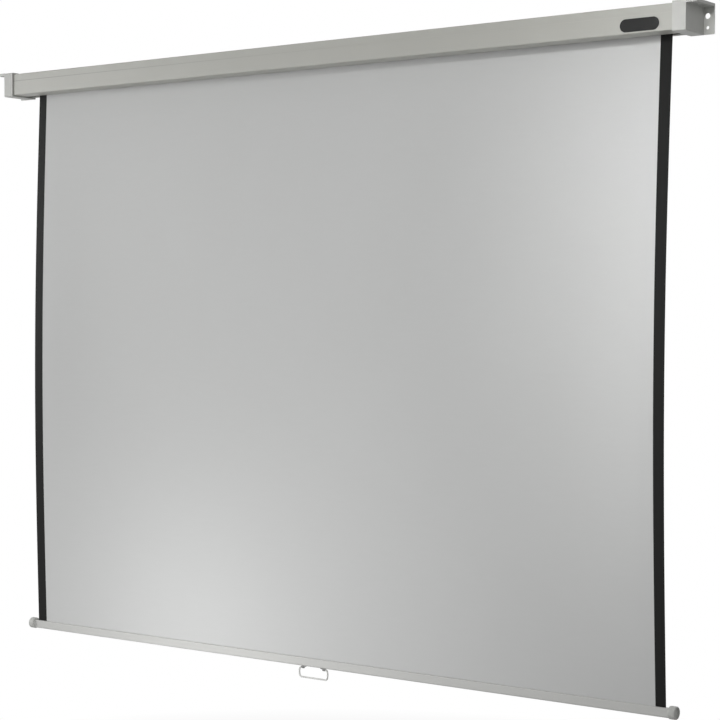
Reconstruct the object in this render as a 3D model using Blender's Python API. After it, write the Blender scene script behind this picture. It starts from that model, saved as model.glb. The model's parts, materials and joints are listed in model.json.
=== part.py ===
"""A pull down projector screen with a spring roller, modelled piece by piece.

Lengths are metres and Z is up. X runs along the case and -Y points into the room. The origin is the
middle of the case's flat back, so the wall is the plane Y = 0. The screen is pulled fully down.
"""

import math

import bmesh
import bpy
from mathutils import Vector

# Fits and facets
SEAT_GAP = 0.0003
ROUND_SEGMENTS = 32
SMALL_SEGMENTS = 16
CORNER_STEPS = 4
WIRE_BEND_STEPS = 6
BADGE_END_STEPS = 12
ROUNDING_STEPS = 3
SMOOTH_ANGLE = math.radians(35)

# Case extrusion
LENGTH_OVER_CAPS = 2.575
CASE_HEIGHT = 0.071
CASE_DEPTH = 0.104
CASE_WALL = 0.0018
CASE_FRONT_RADIUS = 0.003
CASE_REAR_RADIUS = 0.002
GROOVE_BELOW_TOP = 0.0235
GROOVE_WIDTH = 0.0018
GROOVE_DEPTH = 0.001
SLOT_WIDTH = 0.024
SLOT_FROM_WALL = 0.020
HOOK_HEIGHT = 0.005

# Screw ports of the case
PORT_BORE_RADIUS = 0.0017
PORT_WALL = 0.0015
PORT_FROM_WALL = 0.0024
PORT_MOUTH_HALF_ANGLE = 35
UPPER_PORT_BELOW_TOP = 0.0115
REAR_PORT_FROM_BACK = 0.0102

# End caps
CAP_SLEEVE = 0.040
CAP_FRONT_WALL = 0.004
CAP_FLOOR = 0.0045
CAP_ROOF = 0.005
CAP_END_WALL = 0.004
CAP_ROUNDING = 0.002
CAP_CORNER_RADIUS = 0.004
FLANGE_REACH = 0.030
FLANGE_CORNER_RADIUS = 0.004
WALL_FLANGE_THICKNESS = 0.003
CEILING_FLANGE_THICKNESS = 0.008
BIG_HOLE_DIAMETER = 0.0155
SMALL_HOLE_DIAMETER = 0.0095
HOLES_FROM_END_FACE = 0.0101
WALL_BIG_HOLE_Z = 0.0093
WALL_HOLE_SPACING = 0.0309
CEILING_BIG_HOLE_FROM_WALL = 0.036
CEILING_HOLE_SPACING = 0.032
BOSS_RADIUS = 0.010
BOSS_LENGTH = 0.012

# End cap screws
CAP_SCREW_SHANK_RADIUS = 0.0014
CAP_SCREW_HEAD_RADIUS = 0.0032
CAP_SCREW_HEAD_HEIGHT = 0.0018
CAP_SCREW_LENGTH = 0.016
SOCKET_RADIUS = 0.0012
SOCKET_DEPTH = 0.0009

# Badge
BADGE_LENGTH = 0.117
BADGE_HEIGHT = 0.035
BADGE_THICKNESS = 0.0012
BADGE_FROM_END = 0.1379
BADGE_CENTRE_BELOW_TOP = 0.0485

# Fabric
FABRIC_WIDTH = 2.400
FABRIC_THICKNESS = 0.0005
FABRIC_FROM_RIGHT_END = 0.0805
DROP_TO_BAR_BOTTOM = 1.8215

# Roller
TUBE_RADIUS = 0.018
TUBE_WALL = 0.0015
WRAP_THICKNESS = 0.0007
ROLLER_BELOW_TOP = 0.0325
PLUG_BODY_LENGTH = 0.025
PLUG_FLANGE_THICKNESS = 0.0025
IDLE_FLANGE_THICKNESS = 0.002
IDLE_PIN_RADIUS = 0.003
IDLE_PIN_END_PLAY = 0.0012
IDLE_FLOAT = 0.0029
BUSH_WALL = 0.0027
BUSH_FLANGE_RADIUS = 0.008
BUSH_FLANGE_THICKNESS = 0.0015

# Spear shaft
SHAFT_RADIUS = 0.004
BLADE_THICKNESS = 0.0028
BLADE_END_PLAY = 0.001

# Ratchet and pawls
TEETH = 6
RATCHET_TIP_RADIUS = 0.009
RATCHET_ROOT_RADIUS = 0.0062
RATCHET_LAND_ANGLE = 8
RATCHET_THICKNESS = 0.004
RATCHET_HUB_LENGTH = 0.0022
RATCHET_TO_PLUG = 0.001
PAWL_LIFTED_CLEARANCE = 0.0004
PAWL_HUB_RADIUS = 0.003
PAWL_HUB_STANDOFF = 0.0008
PAWL_THICKNESS = 0.0035
PAWL_REACH_ANGLE = 46
PAWL_EDGE_START_ANGLE = 104
PAWL_HUB_ANGLES = (-110, 130)
PAWL_NOSE_BACK_ANGLE = 2
PAWL_NOSE_HEIGHT = 0.0028
PAWL_ENGAGING_ANGLE = 13.4
PAWL_PIN_RADIUS = 0.0015
PAWL_PIN_HEAD_RADIUS = 0.0025
PAWL_PIN_HEAD_THICKNESS = 0.0012
PAWL_PIN_DEPTH = 0.006

# Torsion spring and what holds its ends
SPRING_RADIUS = 0.011
SPRING_WIRE = 0.0022
SPRING_TURNS = 24
SPRING_COIL_LENGTH = 0.268
SPRING_POINTS_PER_TURN = 12
SPRING_SIDES = 6
SPRING_BEND_RADIUS = 0.002
SPRING_BEND_STEPS = 4
SPRING_TAIL_LENGTH = 0.0045
SPRING_TAIL_STANDOFF = 0.0012
SPRING_HUB_CLEARANCE = 0.0009
COLLAR_FROM_PLUG = 0.0045
COLLAR_FLANGE_RADIUS = 0.013
COLLAR_FLANGE_THICKNESS = 0.003
SPRING_HUB_LENGTH = 0.012
ANCHOR_LENGTH = 0.020
SHAFT_IN_ANCHOR = 0.010

# Bottom bar
BAR_HEIGHT = 0.0265
BAR_DEPTH = 0.016
BAR_WALL = 0.0023
BAR_TOP_RADIUS = 0.003
BAR_BOTTOM_RADIUS = 0.005
BAR_PAST_FABRIC = 0.0115
KEDER_RADIUS = 0.0024
KEDER_BELOW_TOP = 0.006
KEDER_GROOVE_WIDTH = 0.0016
BAR_CAP_RADIUS = 0.018
BAR_CAP_LENGTH = 0.0215
BAR_CAP_ROUNDING = 0.003
BAR_CAP_RISE = 0.0022
BAR_CAP_POCKET = 0.012

# Pull handle
HANDLE_WIDTH = 0.1145
HANDLE_DROP = 0.0372
HANDLE_WIRE = 0.005
HANDLE_SIDES = 8
HANDLE_TOP_RADIUS = 0.0065
HANDLE_CORNER_RADIUS = 0.008
HANDLE_LEAN = math.radians(15)
CLIP_SPACING = 0.082
CLIP_WALL = 0.0012
CLIP_BARREL_LENGTH = 0.0085
CLIP_TAB_LENGTH = 0.0085
CLIP_TAB_THICKNESS = 0.0015
PIVOT_BELOW_BAR = 0.0043
CLIP_SCREW_SHANK_RADIUS = 0.0013
CLIP_SCREW_HEAD_RADIUS = 0.0026
CLIP_SCREW_HEAD_HEIGHT = 0.0014
CLIP_SCREW_LENGTH = 0.0065

# Colours as linear RGB, with roughness and metallic
PAINTED_CASE = ((0.46, 0.47, 0.45), 0.38, 0.0)
PAINTED_CAP = ((0.47, 0.48, 0.46), 0.42, 0.0)
DARK_BADGE = ((0.035, 0.036, 0.033), 0.35, 0.0)
SCREEN_CLOTH = ((0.62, 0.62, 0.62), 0.90, 0.0)
BAR_PAINT = ((0.55, 0.56, 0.54), 0.35, 0.0)
HANDLE_PLASTIC = ((0.60, 0.60, 0.58), 0.40, 0.0)
DARK_PLASTIC = ((0.05, 0.05, 0.05), 0.50, 0.0)
WHITE_PLASTIC = ((0.70, 0.70, 0.68), 0.45, 0.0)
ZINC_STEEL = ((0.55, 0.56, 0.58), 0.30, 1.0)
SPRING_STEEL = ((0.30, 0.30, 0.32), 0.35, 1.0)
MILL_ALUMINIUM = ((0.66, 0.67, 0.68), 0.35, 1.0)

# Places worked out from the sizes
HALF_LENGTH = LENGTH_OVER_CAPS / 2
CASE_TOP = CASE_HEIGHT / 2
CASE_BOTTOM = -CASE_HEIGHT / 2
SLOT_REAR = -SLOT_FROM_WALL
SLOT_FRONT = SLOT_REAR - SLOT_WIDTH
FABRIC_Y = (SLOT_FRONT + SLOT_REAR) / 2
FABRIC_RIGHT = HALF_LENGTH - FABRIC_FROM_RIGHT_END
FABRIC_LEFT = FABRIC_RIGHT - FABRIC_WIDTH
FABRIC_MIDDLE = (FABRIC_LEFT + FABRIC_RIGHT) / 2
WRAP_RADIUS = TUBE_RADIUS + SEAT_GAP + WRAP_THICKNESS
ROLLER_Y = FABRIC_Y - WRAP_RADIUS - SEAT_GAP - FABRIC_THICKNESS / 2
ROLLER_Z = CASE_TOP - ROLLER_BELOW_TOP
CAP_INNER_FACE = HALF_LENGTH - CAP_END_WALL
CASE_END = CAP_INNER_FACE - SEAT_GAP
BOSS_FACE = CAP_INNER_FACE - BOSS_LENGTH

# Distances from the middle, along the roller's spring end
WHEEL_OUTER_FACE = BOSS_FACE - SEAT_GAP - RATCHET_HUB_LENGTH
WHEEL_INNER_FACE = WHEEL_OUTER_FACE - RATCHET_THICKNESS
SHAFT_SHOULDER = WHEEL_INNER_FACE - SEAT_GAP
PLUG_FACE = WHEEL_INNER_FACE - RATCHET_TO_PLUG
TUBE_SPRING_END = PLUG_FACE - PLUG_FLANGE_THICKNESS - SEAT_GAP
PLUG_BODY_END = TUBE_SPRING_END - PLUG_BODY_LENGTH
COLLAR_OUTER_FACE = PLUG_BODY_END - COLLAR_FROM_PLUG
COLLAR_INNER_FACE = COLLAR_OUTER_FACE - COLLAR_FLANGE_THICKNESS
COIL_START = COLLAR_INNER_FACE - SPRING_TAIL_STANDOFF - SPRING_BEND_RADIUS
COIL_END = COIL_START - SPRING_COIL_LENGTH
ANCHOR_FACE = COIL_END - SPRING_BEND_RADIUS - SPRING_TAIL_STANDOFF

# Distances from the middle, along the roller's idle end
BUSH_FACE = BOSS_FACE - SEAT_GAP - BUSH_FLANGE_THICKNESS
IDLE_FACE = BUSH_FACE - IDLE_FLOAT
TUBE_IDLE_END = IDLE_FACE - IDLE_FLANGE_THICKNESS - SEAT_GAP
IDLE_BODY_END = TUBE_IDLE_END - PLUG_BODY_LENGTH

# Ratchet and pawl places, round the roller's axis
PAWL_EDGE_RADIUS = RATCHET_TIP_RADIUS + PAWL_LIFTED_CLEARANCE
PAWL_PIVOT_RADIUS = PAWL_EDGE_RADIUS + PAWL_HUB_STANDOFF + PAWL_HUB_RADIUS
NOSE_ANGLE = 90 + PAWL_REACH_ANGLE

# Bar and handle places
BAR_BOTTOM = CASE_BOTTOM - DROP_TO_BAR_BOTTOM
BAR_Z = BAR_BOTTOM + BAR_HEIGHT / 2
KEDER_HEIGHT = BAR_HEIGHT / 2 - KEDER_BELOW_TOP
BAR_CAP_INNER_FACE = FABRIC_WIDTH / 2 + BAR_PAST_FABRIC
BAR_END = BAR_CAP_INNER_FACE + BAR_CAP_POCKET - SEAT_GAP
PIVOT_Z = BAR_BOTTOM - PIVOT_BELOW_BAR
CLIP_SEAT = PIVOT_BELOW_BAR - SEAT_GAP
CLIP_SCREW_X = CLIP_SPACING / 2 - CLIP_BARREL_LENGTH / 2 - CLIP_TAB_LENGTH / 2


def clear_scene():
    """Removes every object of the scene that was open."""
    for obj in list(bpy.data.objects):
        bpy.data.objects.remove(obj)


def material_for(name, finish):
    """A material of the piece's own, with its colour, roughness and metallic value."""
    colour, roughness, metallic = finish
    material = bpy.data.materials.new(name + "_finish")
    material.use_nodes = True
    shader = material.node_tree.nodes["Principled BSDF"]
    shader.inputs["Base Color"].default_value = (*colour, 1.0)
    shader.inputs["Roughness"].default_value = roughness
    shader.inputs["Metallic"].default_value = metallic
    return material


def link_object(name, data, parent=None, location=(0, 0, 0)):
    """Puts mesh or curve data in the scene as an object."""
    obj = bpy.data.objects.new(name, data)
    bpy.context.scene.collection.objects.link(obj)
    obj.location = location
    obj.parent = parent
    return obj


def finish_mesh(name, bm):
    """Turns the bmesh into mesh data with outward faces and smooth round stretches."""
    bmesh.ops.recalc_face_normals(bm, faces=bm.faces)
    mesh = bpy.data.meshes.new(name)
    bm.to_mesh(mesh)
    bm.free()
    mesh.shade_smooth()
    mesh.set_sharp_from_angle(angle=SMOOTH_ANGLE)
    return mesh


def piece(name, bm, finish, parent=None, location=(0, 0, 0)):
    """A visible piece of the product, made from a bmesh."""
    obj = link_object(name, finish_mesh(name, bm), parent, location)
    obj.data.materials.append(material_for(name, finish))
    return obj


def helper(name, bm, parent=None, location=(0, 0, 0)):
    """A hidden solid that is added to, or cut from, a piece."""
    obj = link_object(name, finish_mesh(name, bm), parent, location)
    obj.hide_render = True
    obj.display_type = "WIRE"
    return obj


def combine(target, other, operation):
    """Adds a Boolean modifier that joins or cuts the target with a helper."""
    modifier = target.modifiers.new(other.name, "BOOLEAN")
    modifier.operation = operation
    modifier.solver = "EXACT"
    modifier.object = other


def even_shading():
    """Gives flat faces that Booleans have cut an even shade, with every sharp edge kept."""
    for obj in bpy.data.objects:
        if obj.modifiers and not obj.hide_render:
            obj.modifiers.new("even_shading", "WEIGHTED_NORMAL").keep_sharp = True


def empty(name, location):
    """A plain empty that carries the pieces of one moving body."""
    return link_object(name, None, None, location)


def in_space(axis, across, up, along):
    """The point with this place along the axis and these two places across it."""
    if axis == "X":
        return (along, across, up)
    if axis == "Y":
        return (across, along, up)
    return (across, up, along)


def arc(centre, radius, start, end, steps=CORNER_STEPS):
    """Points on a circle from one angle to another, in degrees, both ends included."""
    turns = [math.radians(start + (end - start) * i / steps) for i in range(steps + 1)]
    return [(centre[0] + radius * math.cos(t), centre[1] + radius * math.sin(t)) for t in turns]


def circle(centre, radius, segments=ROUND_SEGMENTS):
    """The points of a full circle."""
    return arc(centre, radius, 0, 360, segments)[:-1]


def rectangle(low, high):
    """The four corners of an upright rectangle."""
    return [low, (high[0], low[1]), high, (low[0], high[1])]


def rounded_rectangle(low, high, radii):
    """A rectangle with a radius at each corner, from the low corner round through the far low one."""
    corners = rectangle(low, high)
    inward = [(1, 1), (-1, 1), (-1, -1), (1, -1)]
    outline = []
    for index, (corner, way, radius) in enumerate(zip(corners, inward, radii)):
        centre = (corner[0] + way[0] * radius, corner[1] + way[1] * radius)
        start = 180 + 90 * index
        outline += arc(centre, radius, start, start + 90) if radius else [corner]
    return outline


def add_prism(bm, loops, axis, start, end):
    """Adds a straight solid: the first outline is its outside and any others are holes through it."""
    edges = []
    for loop in loops:
        verts = [bm.verts.new(in_space(axis, across, up, start)) for across, up in loop]
        edges += [bm.edges.new(pair) for pair in zip(verts, verts[1:] + verts[:1])]
    if len(loops) == 1:
        faces = [bm.faces.new(verts)]
    else:
        filled = bmesh.ops.triangle_fill(bm, use_beauty=True, edges=edges)["geom"]
        faces = [item for item in filled if isinstance(item, bmesh.types.BMFace)]
    drawn = bmesh.ops.extrude_face_region(bm, geom=faces)["geom"]
    moved = [item for item in drawn if isinstance(item, bmesh.types.BMVert)]
    bmesh.ops.translate(bm, verts=moved, vec=Vector(in_space(axis, 0, 0, end - start)))


def add_turned(bm, profile, axis, centre=(0, 0), segments=ROUND_SEGMENTS):
    """Adds a turned solid from places along the axis with their radii; a ring's profile is closed."""
    verts = [bm.verts.new(in_space(axis, centre[0] + r, centre[1], along)) for along, r in profile]
    pairs = list(zip(verts, verts[1:]))
    if profile[0][1] > 0:
        pairs.append((verts[-1], verts[0]))
    edges = [bm.edges.new(pair) for pair in pairs]
    bmesh.ops.spin(
        bm,
        geom=verts + edges,
        cent=in_space(axis, centre[0], centre[1], 0),
        axis=in_space(axis, 0, 0, 1),
        angle=math.tau,
        steps=segments,
        use_merge=True,
    )
    bmesh.ops.remove_doubles(bm, verts=bm.verts, dist=1e-6)


def round_over(bm, edges, radius):
    """Rounds these edges of a bmesh over."""
    bmesh.ops.bevel(bm, geom=edges, offset=radius, segments=ROUNDING_STEPS, profile=0.5, affect="EDGES")


def prism(loops, axis, start, end):
    """A bmesh that holds one straight solid."""
    bm = bmesh.new()
    add_prism(bm, loops, axis, start, end)
    return bm


def turned(profile, axis, centre=(0, 0), segments=ROUND_SEGMENTS):
    """A bmesh that holds one turned solid."""
    bm = bmesh.new()
    add_turned(bm, profile, axis, centre, segments)
    return bm


def swept_wire(name, points, diameter, sides, finish, parent=None, location=(0, 0, 0)):
    """A round wire that follows the points, as a curve with a bevel and closed ends."""
    curve = bpy.data.curves.new(name, "CURVE")
    curve.dimensions = "3D"
    curve.bevel_depth = diameter / 2
    curve.bevel_resolution = sides // 2 - 2
    curve.use_fill_caps = True
    spline = curve.splines.new("POLY")
    spline.points.add(len(points) - 1)
    for knot, point in zip(spline.points, points):
        knot.co = (*point, 1.0)
    curve.materials.append(material_for(name, finish))
    return link_object(name, curve, parent, location)


def port_centres():
    """The places of the screw ports in the case, with their wall's direction and half angle at the wall."""
    front = -CASE_DEPTH + CASE_WALL + PORT_FROM_WALL
    low = CASE_BOTTOM + CASE_WALL + PORT_FROM_WALL
    reach = math.degrees(math.acos(PORT_FROM_WALL / (PORT_BORE_RADIUS + PORT_WALL)))
    return {
        "upper": ((front, CASE_TOP - UPPER_PORT_BELOW_TOP), 180, reach),
        "corner": ((front, low), 225, 45 + reach),
        "rear": ((-REAR_PORT_FROM_BACK, low), 270, reach),
    }


def port_outline(which):
    """The inner outline where it turns round a screw port, open on the side away from the wall."""
    centre, facing, reach = port_centres()[which]
    outer = PORT_BORE_RADIUS + PORT_WALL
    mouth = 180 - PORT_MOUTH_HALF_ANGLE
    return (
        arc(centre, outer, facing - reach, facing - mouth)
        + arc(centre, PORT_BORE_RADIUS, facing - mouth, facing + mouth, 2 * CORNER_STEPS)
        + arc(centre, outer, facing + mouth, facing + reach)
    )


def case_outline():
    """The case's section: outside from the slot's front edge round to its rear edge, then inside back."""
    front = -CASE_DEPTH
    groove = CASE_TOP - GROOVE_BELOW_TOP
    inside_low = CASE_BOTTOM + CASE_WALL
    inside_high = CASE_TOP - CASE_WALL
    hook_top = CASE_BOTTOM + HOOK_HEIGHT
    front_round = CASE_FRONT_RADIUS
    rear_round = CASE_REAR_RADIUS
    outside = (
        [(SLOT_FRONT, CASE_BOTTOM)]
        + arc((front + front_round, CASE_BOTTOM + front_round), front_round, 270, 180)
        + [(front, groove - GROOVE_WIDTH / 2), (front + GROOVE_DEPTH, groove - GROOVE_WIDTH / 2)]
        + [(front + GROOVE_DEPTH, groove + GROOVE_WIDTH / 2), (front, groove + GROOVE_WIDTH / 2)]
        + arc((front + front_round, CASE_TOP - front_round), front_round, 180, 90)
        + arc((-rear_round, CASE_TOP - rear_round), rear_round, 90, 0)
        + arc((-rear_round, CASE_BOTTOM + rear_round), rear_round, 0, -90)
        + [(SLOT_REAR, CASE_BOTTOM)]
    )
    inside = (
        [(SLOT_REAR, hook_top), (SLOT_REAR + CASE_WALL, hook_top), (SLOT_REAR + CASE_WALL, inside_low)]
        + port_outline("rear")
        + [(-CASE_WALL, inside_low), (-CASE_WALL, inside_high), (front + CASE_WALL, inside_high)]
        + port_outline("upper")
        + port_outline("corner")
        + [(SLOT_FRONT - CASE_WALL, inside_low), (SLOT_FRONT - CASE_WALL, hook_top), (SLOT_FRONT, hook_top)]
    )
    return outside + inside


def build_case():
    """The long extruded case."""
    piece("case_shell", prism([case_outline()], "X", -CASE_END, CASE_END), PAINTED_CASE)


def cap_body(side):
    """The outside of an end cap's box, with its end rounded over."""
    low = (-CASE_DEPTH - CAP_FRONT_WALL, CASE_BOTTOM - CAP_FLOOR)
    high = (0, CASE_TOP + CAP_ROOF)
    outline = rounded_rectangle(low, high, (CAP_CORNER_RADIUS, 0, 0, CAP_CORNER_RADIUS))
    bm = prism([outline], "X", side * (HALF_LENGTH - CAP_SLEEVE), side * HALF_LENGTH)
    end_edges = [
        edge
        for edge in bm.edges
        if all(abs(abs(vert.co.x) - HALF_LENGTH) < 1e-6 for vert in edge.verts)
        and min(vert.co.y for vert in edge.verts) < -1e-6
        and min(vert.co.z for vert in edge.verts) < CASE_TOP
    ]
    round_over(bm, end_edges, CAP_ROUNDING)
    return bm


def flange_outline(side, near, far):
    """A flange plate's outline from inside the end wall out past the end face, its free corner rounded."""
    root = HALF_LENGTH - CAP_END_WALL / 2
    tip = HALF_LENGTH + FLANGE_REACH
    shape = rounded_rectangle((root, near), (tip, far), (0, FLANGE_CORNER_RADIUS, 0, 0))
    return [(side * x, other) for x, other in shape]


def cap_holes(side):
    """The holes in the two flanges and the countersunk holes for the end cap screws."""
    bm = bmesh.new()
    hole_x = side * (HALF_LENGTH + HOLES_FROM_END_FACE)
    big = BIG_HOLE_DIAMETER / 2
    small = SMALL_HOLE_DIAMETER / 2
    through = 2 * WALL_FLANGE_THICKNESS
    for height, radius in ((WALL_BIG_HOLE_Z, big), (WALL_BIG_HOLE_Z - WALL_HOLE_SPACING, small)):
        add_prism(bm, [circle((hole_x, height), radius)], "Y", -through, through)
    ceiling = CASE_TOP + CAP_ROOF
    first = -CEILING_BIG_HOLE_FROM_WALL
    for place, radius in ((first, big), (first - CEILING_HOLE_SPACING, small)):
        outline = circle((hole_x, place), radius)
        add_prism(bm, [outline], "Z", ceiling - 2 * CEILING_FLANGE_THICKNESS, ceiling + CAP_ROOF)
    shank = CAP_SCREW_SHANK_RADIUS + SEAT_GAP
    head = CAP_SCREW_HEAD_RADIUS + SEAT_GAP
    past = CAP_END_WALL / 4
    for centre, _, _ in port_centres().values():
        profile = [
            (side * (HALF_LENGTH + past), 0),
            (side * (HALF_LENGTH + past), head),
            (side * HALF_LENGTH, head),
            (side * (HALF_LENGTH - CAP_SCREW_HEAD_HEIGHT), shank),
            (side * (CAP_INNER_FACE - past), shank),
            (side * (CAP_INNER_FACE - past), 0),
        ]
        add_turned(bm, profile, "X", centre, SMALL_SEGMENTS)
    return bm


def build_end_cap(side, name):
    """One moulded end cap, with its two flanges and the boss that carries the roller's end."""
    cap = piece(name, cap_body(side), PAINTED_CAP)
    bottom = CASE_BOTTOM - CAP_FLOOR
    top = CASE_TOP + CAP_ROOF
    front = -CASE_DEPTH - CAP_FRONT_WALL
    wall_plate = prism([flange_outline(side, bottom, top)], "Y", -WALL_FLANGE_THICKNESS, 0)
    combine(cap, helper(name + "_wall_flange", wall_plate), "UNION")
    ceiling_plate = prism([flange_outline(side, front, 0)], "Z", top - CEILING_FLANGE_THICKNESS, top)
    combine(cap, helper(name + "_ceiling_flange", ceiling_plate), "UNION")
    cavity_outline = rounded_rectangle(
        (-CASE_DEPTH - SEAT_GAP, CASE_BOTTOM - SEAT_GAP),
        (CAP_FRONT_WALL, CASE_TOP + SEAT_GAP),
        (CASE_FRONT_RADIUS, 0, 0, CASE_FRONT_RADIUS),
    )
    mouth = HALF_LENGTH - CAP_SLEEVE - CAP_END_WALL
    cavity = prism([cavity_outline], "X", side * mouth, side * CAP_INNER_FACE)
    combine(cap, helper(name + "_cavity", cavity), "DIFFERENCE")
    axis = (ROLLER_Y, ROLLER_Z)
    boss_root = CAP_INNER_FACE + CAP_END_WALL / 2
    boss = prism([circle(axis, BOSS_RADIUS)], "X", side * BOSS_FACE, side * boss_root)
    combine(cap, helper(name + "_boss", boss), "UNION")
    combine(cap, helper(name + "_holes", cap_holes(side)), "DIFFERENCE")
    if side < 0:
        socket_outline = blade_socket_outline(axis)
    else:
        socket_outline = circle(axis, IDLE_PIN_RADIUS + SEAT_GAP + BUSH_WALL + SEAT_GAP)
    socket = prism([socket_outline], "X", side * (BOSS_FACE - SEAT_GAP), side * CAP_INNER_FACE)
    combine(cap, helper(name + "_socket", socket), "DIFFERENCE")


def blade_socket_outline(axis):
    """The upright slot that the spear's flat blade slides into."""
    half_width = BLADE_THICKNESS / 2 + SEAT_GAP
    half_height = SHAFT_RADIUS + SEAT_GAP
    low = (axis[0] - half_width, axis[1] - half_height)
    high = (axis[0] + half_width, axis[1] + half_height)
    return rectangle(low, high)


def build_cap_screws(side, word):
    """The three countersunk screws that hold one end cap to the case's ports."""
    face = side * HALF_LENGTH
    shoulder = side * (HALF_LENGTH - CAP_SCREW_HEAD_HEIGHT)
    tip = side * (HALF_LENGTH - CAP_SCREW_LENGTH)
    socket = side * (HALF_LENGTH - SOCKET_DEPTH)
    for which, (centre, _, _) in port_centres().items():
        profile = [
            (socket, 0),
            (socket, SOCKET_RADIUS),
            (face, SOCKET_RADIUS),
            (face, CAP_SCREW_HEAD_RADIUS),
            (shoulder, CAP_SCREW_SHANK_RADIUS),
            (tip, CAP_SCREW_SHANK_RADIUS),
            (tip, 0),
        ]
        piece(f"cap_screw_{word}_{which}", turned(profile, "X", centre, SMALL_SEGMENTS), PAINTED_CAP)


def build_badge():
    """The bare pill-shaped badge plate on the case's front."""
    middle = HALF_LENGTH - BADGE_FROM_END
    height = CASE_TOP - BADGE_CENTRE_BELOW_TOP
    radius = BADGE_HEIGHT / 2
    reach = BADGE_LENGTH / 2 - radius
    outline = []
    for end, start in ((middle + reach, -90), (middle - reach, 90)):
        outline += arc((end, height), radius, start, start + 180, BADGE_END_STEPS)
    back = -CASE_DEPTH - SEAT_GAP
    bm = prism([outline], "Y", back, back - BADGE_THICKNESS)
    middle_plane = back - BADGE_THICKNESS / 2
    front_edges = [edge for edge in bm.edges if all(vert.co.y < middle_plane for vert in edge.verts)]
    round_over(bm, front_edges, BADGE_THICKNESS / 3)
    piece("badge_plate", bm, DARK_BADGE)


def build_idle_bush():
    """The flanged bush in the right end cap that the idle pin turns in."""
    bore = IDLE_PIN_RADIUS + SEAT_GAP
    outside = bore + BUSH_WALL
    inner_end = CAP_INNER_FACE - SEAT_GAP
    seat = BOSS_FACE - SEAT_GAP
    profile = [
        (BUSH_FACE, bore),
        (BUSH_FACE, BUSH_FLANGE_RADIUS),
        (seat, BUSH_FLANGE_RADIUS),
        (seat, outside),
        (inner_end, outside),
        (inner_end, bore),
    ]
    piece("idle_bush", turned(profile, "X", (ROLLER_Y, ROLLER_Z)), WHITE_PLASTIC)


def build_spear_shaft():
    """The fixed shaft, round inside the roller and cut to a flat blade at the end cap."""
    axis = (ROLLER_Y, ROLLER_Z)
    blade_tip = -(CAP_INNER_FACE - BLADE_END_PLAY)
    inner_end = -(ANCHOR_FACE - SHAFT_IN_ANCHOR)
    shaft = piece("spear_shaft", prism([circle(axis, SHAFT_RADIUS)], "X", blade_tip, inner_end), ZINC_STEEL)
    bm = bmesh.new()
    for way in (-1, 1):
        near = axis[0] + way * BLADE_THICKNESS / 2
        far = axis[0] + way * 2 * SHAFT_RADIUS
        low = (min(near, far), axis[1] - 2 * SHAFT_RADIUS)
        high = (max(near, far), axis[1] + 2 * SHAFT_RADIUS)
        add_prism(bm, [rectangle(low, high)], "X", blade_tip - SHAFT_RADIUS, -SHAFT_SHOULDER)
    combine(shaft, helper("spear_blade_cut", bm), "DIFFERENCE")


def engaged(point):
    """Where a point of the lifted pawl lies once the pawl has swung in, round the roller's axis."""
    pivot = Vector((0, PAWL_PIVOT_RADIUS))
    swing = math.radians(PAWL_ENGAGING_ANGLE)
    across, up = Vector(point) - pivot
    turned_point = (
        across * math.cos(swing) - up * math.sin(swing),
        across * math.sin(swing) + up * math.cos(swing),
    )
    return pivot + Vector(turned_point)


def polar(radius, angle):
    """The point at this radius and angle in degrees."""
    return (radius * math.cos(math.radians(angle)), radius * math.sin(math.radians(angle)))


def ratchet_outline():
    """The teeth: each has a radial face that stops an engaged pawl, a land and a ramp that lifts it."""
    nose = engaged(polar(PAWL_EDGE_RADIUS + PAWL_NOSE_HEIGHT, NOSE_ANGLE - PAWL_NOSE_BACK_ANGLE))
    stop_angle = math.degrees(math.atan2(nose.y, nose.x) + SEAT_GAP / RATCHET_TIP_RADIUS)
    outline = []
    for tooth in range(TEETH):
        face = stop_angle + 360 * tooth / TEETH
        outline.append(polar(RATCHET_ROOT_RADIUS, face))
        outline.append(polar(RATCHET_TIP_RADIUS, face))
        outline.append(polar(RATCHET_TIP_RADIUS, face + RATCHET_LAND_ANGLE))
    return [(ROLLER_Y + across, ROLLER_Z + up) for across, up in outline]


def build_ratchet_wheel():
    """The ratchet wheel, keyed on the spear's blade and seated between its shoulder and the boss."""
    axis = (ROLLER_Y, ROLLER_Z)
    wheel_loops = [ratchet_outline(), blade_socket_outline(axis)]
    wheel = piece("ratchet_wheel", prism(wheel_loops, "X", -WHEEL_INNER_FACE, -WHEEL_OUTER_FACE), ZINC_STEEL)
    hub_radius = RATCHET_ROOT_RADIUS - SEAT_GAP
    hub_loops = [circle(axis, hub_radius), blade_socket_outline(axis)]
    overlap = RATCHET_THICKNESS / 2
    hub = prism(hub_loops, "X", -(WHEEL_OUTER_FACE - overlap), -(BOSS_FACE - SEAT_GAP))
    combine(wheel, helper("ratchet_hub", hub), "UNION")


def spring_hub_radius():
    """The radius of the hubs that the spring's ends sit round."""
    return SPRING_RADIUS - SPRING_WIRE / 2 - SPRING_HUB_CLEARANCE


def tail_hole(direction, face, depth, centre=(0, 0)):
    """The hole for one of the spring's tails, at the spring's own radius."""
    radius = SPRING_WIRE / 2 + SEAT_GAP
    outline = circle((centre[0] + SPRING_RADIUS, centre[1]), radius, SMALL_SEGMENTS)
    return prism([outline], "X", face - direction * SEAT_GAP, face + direction * depth)


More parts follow.
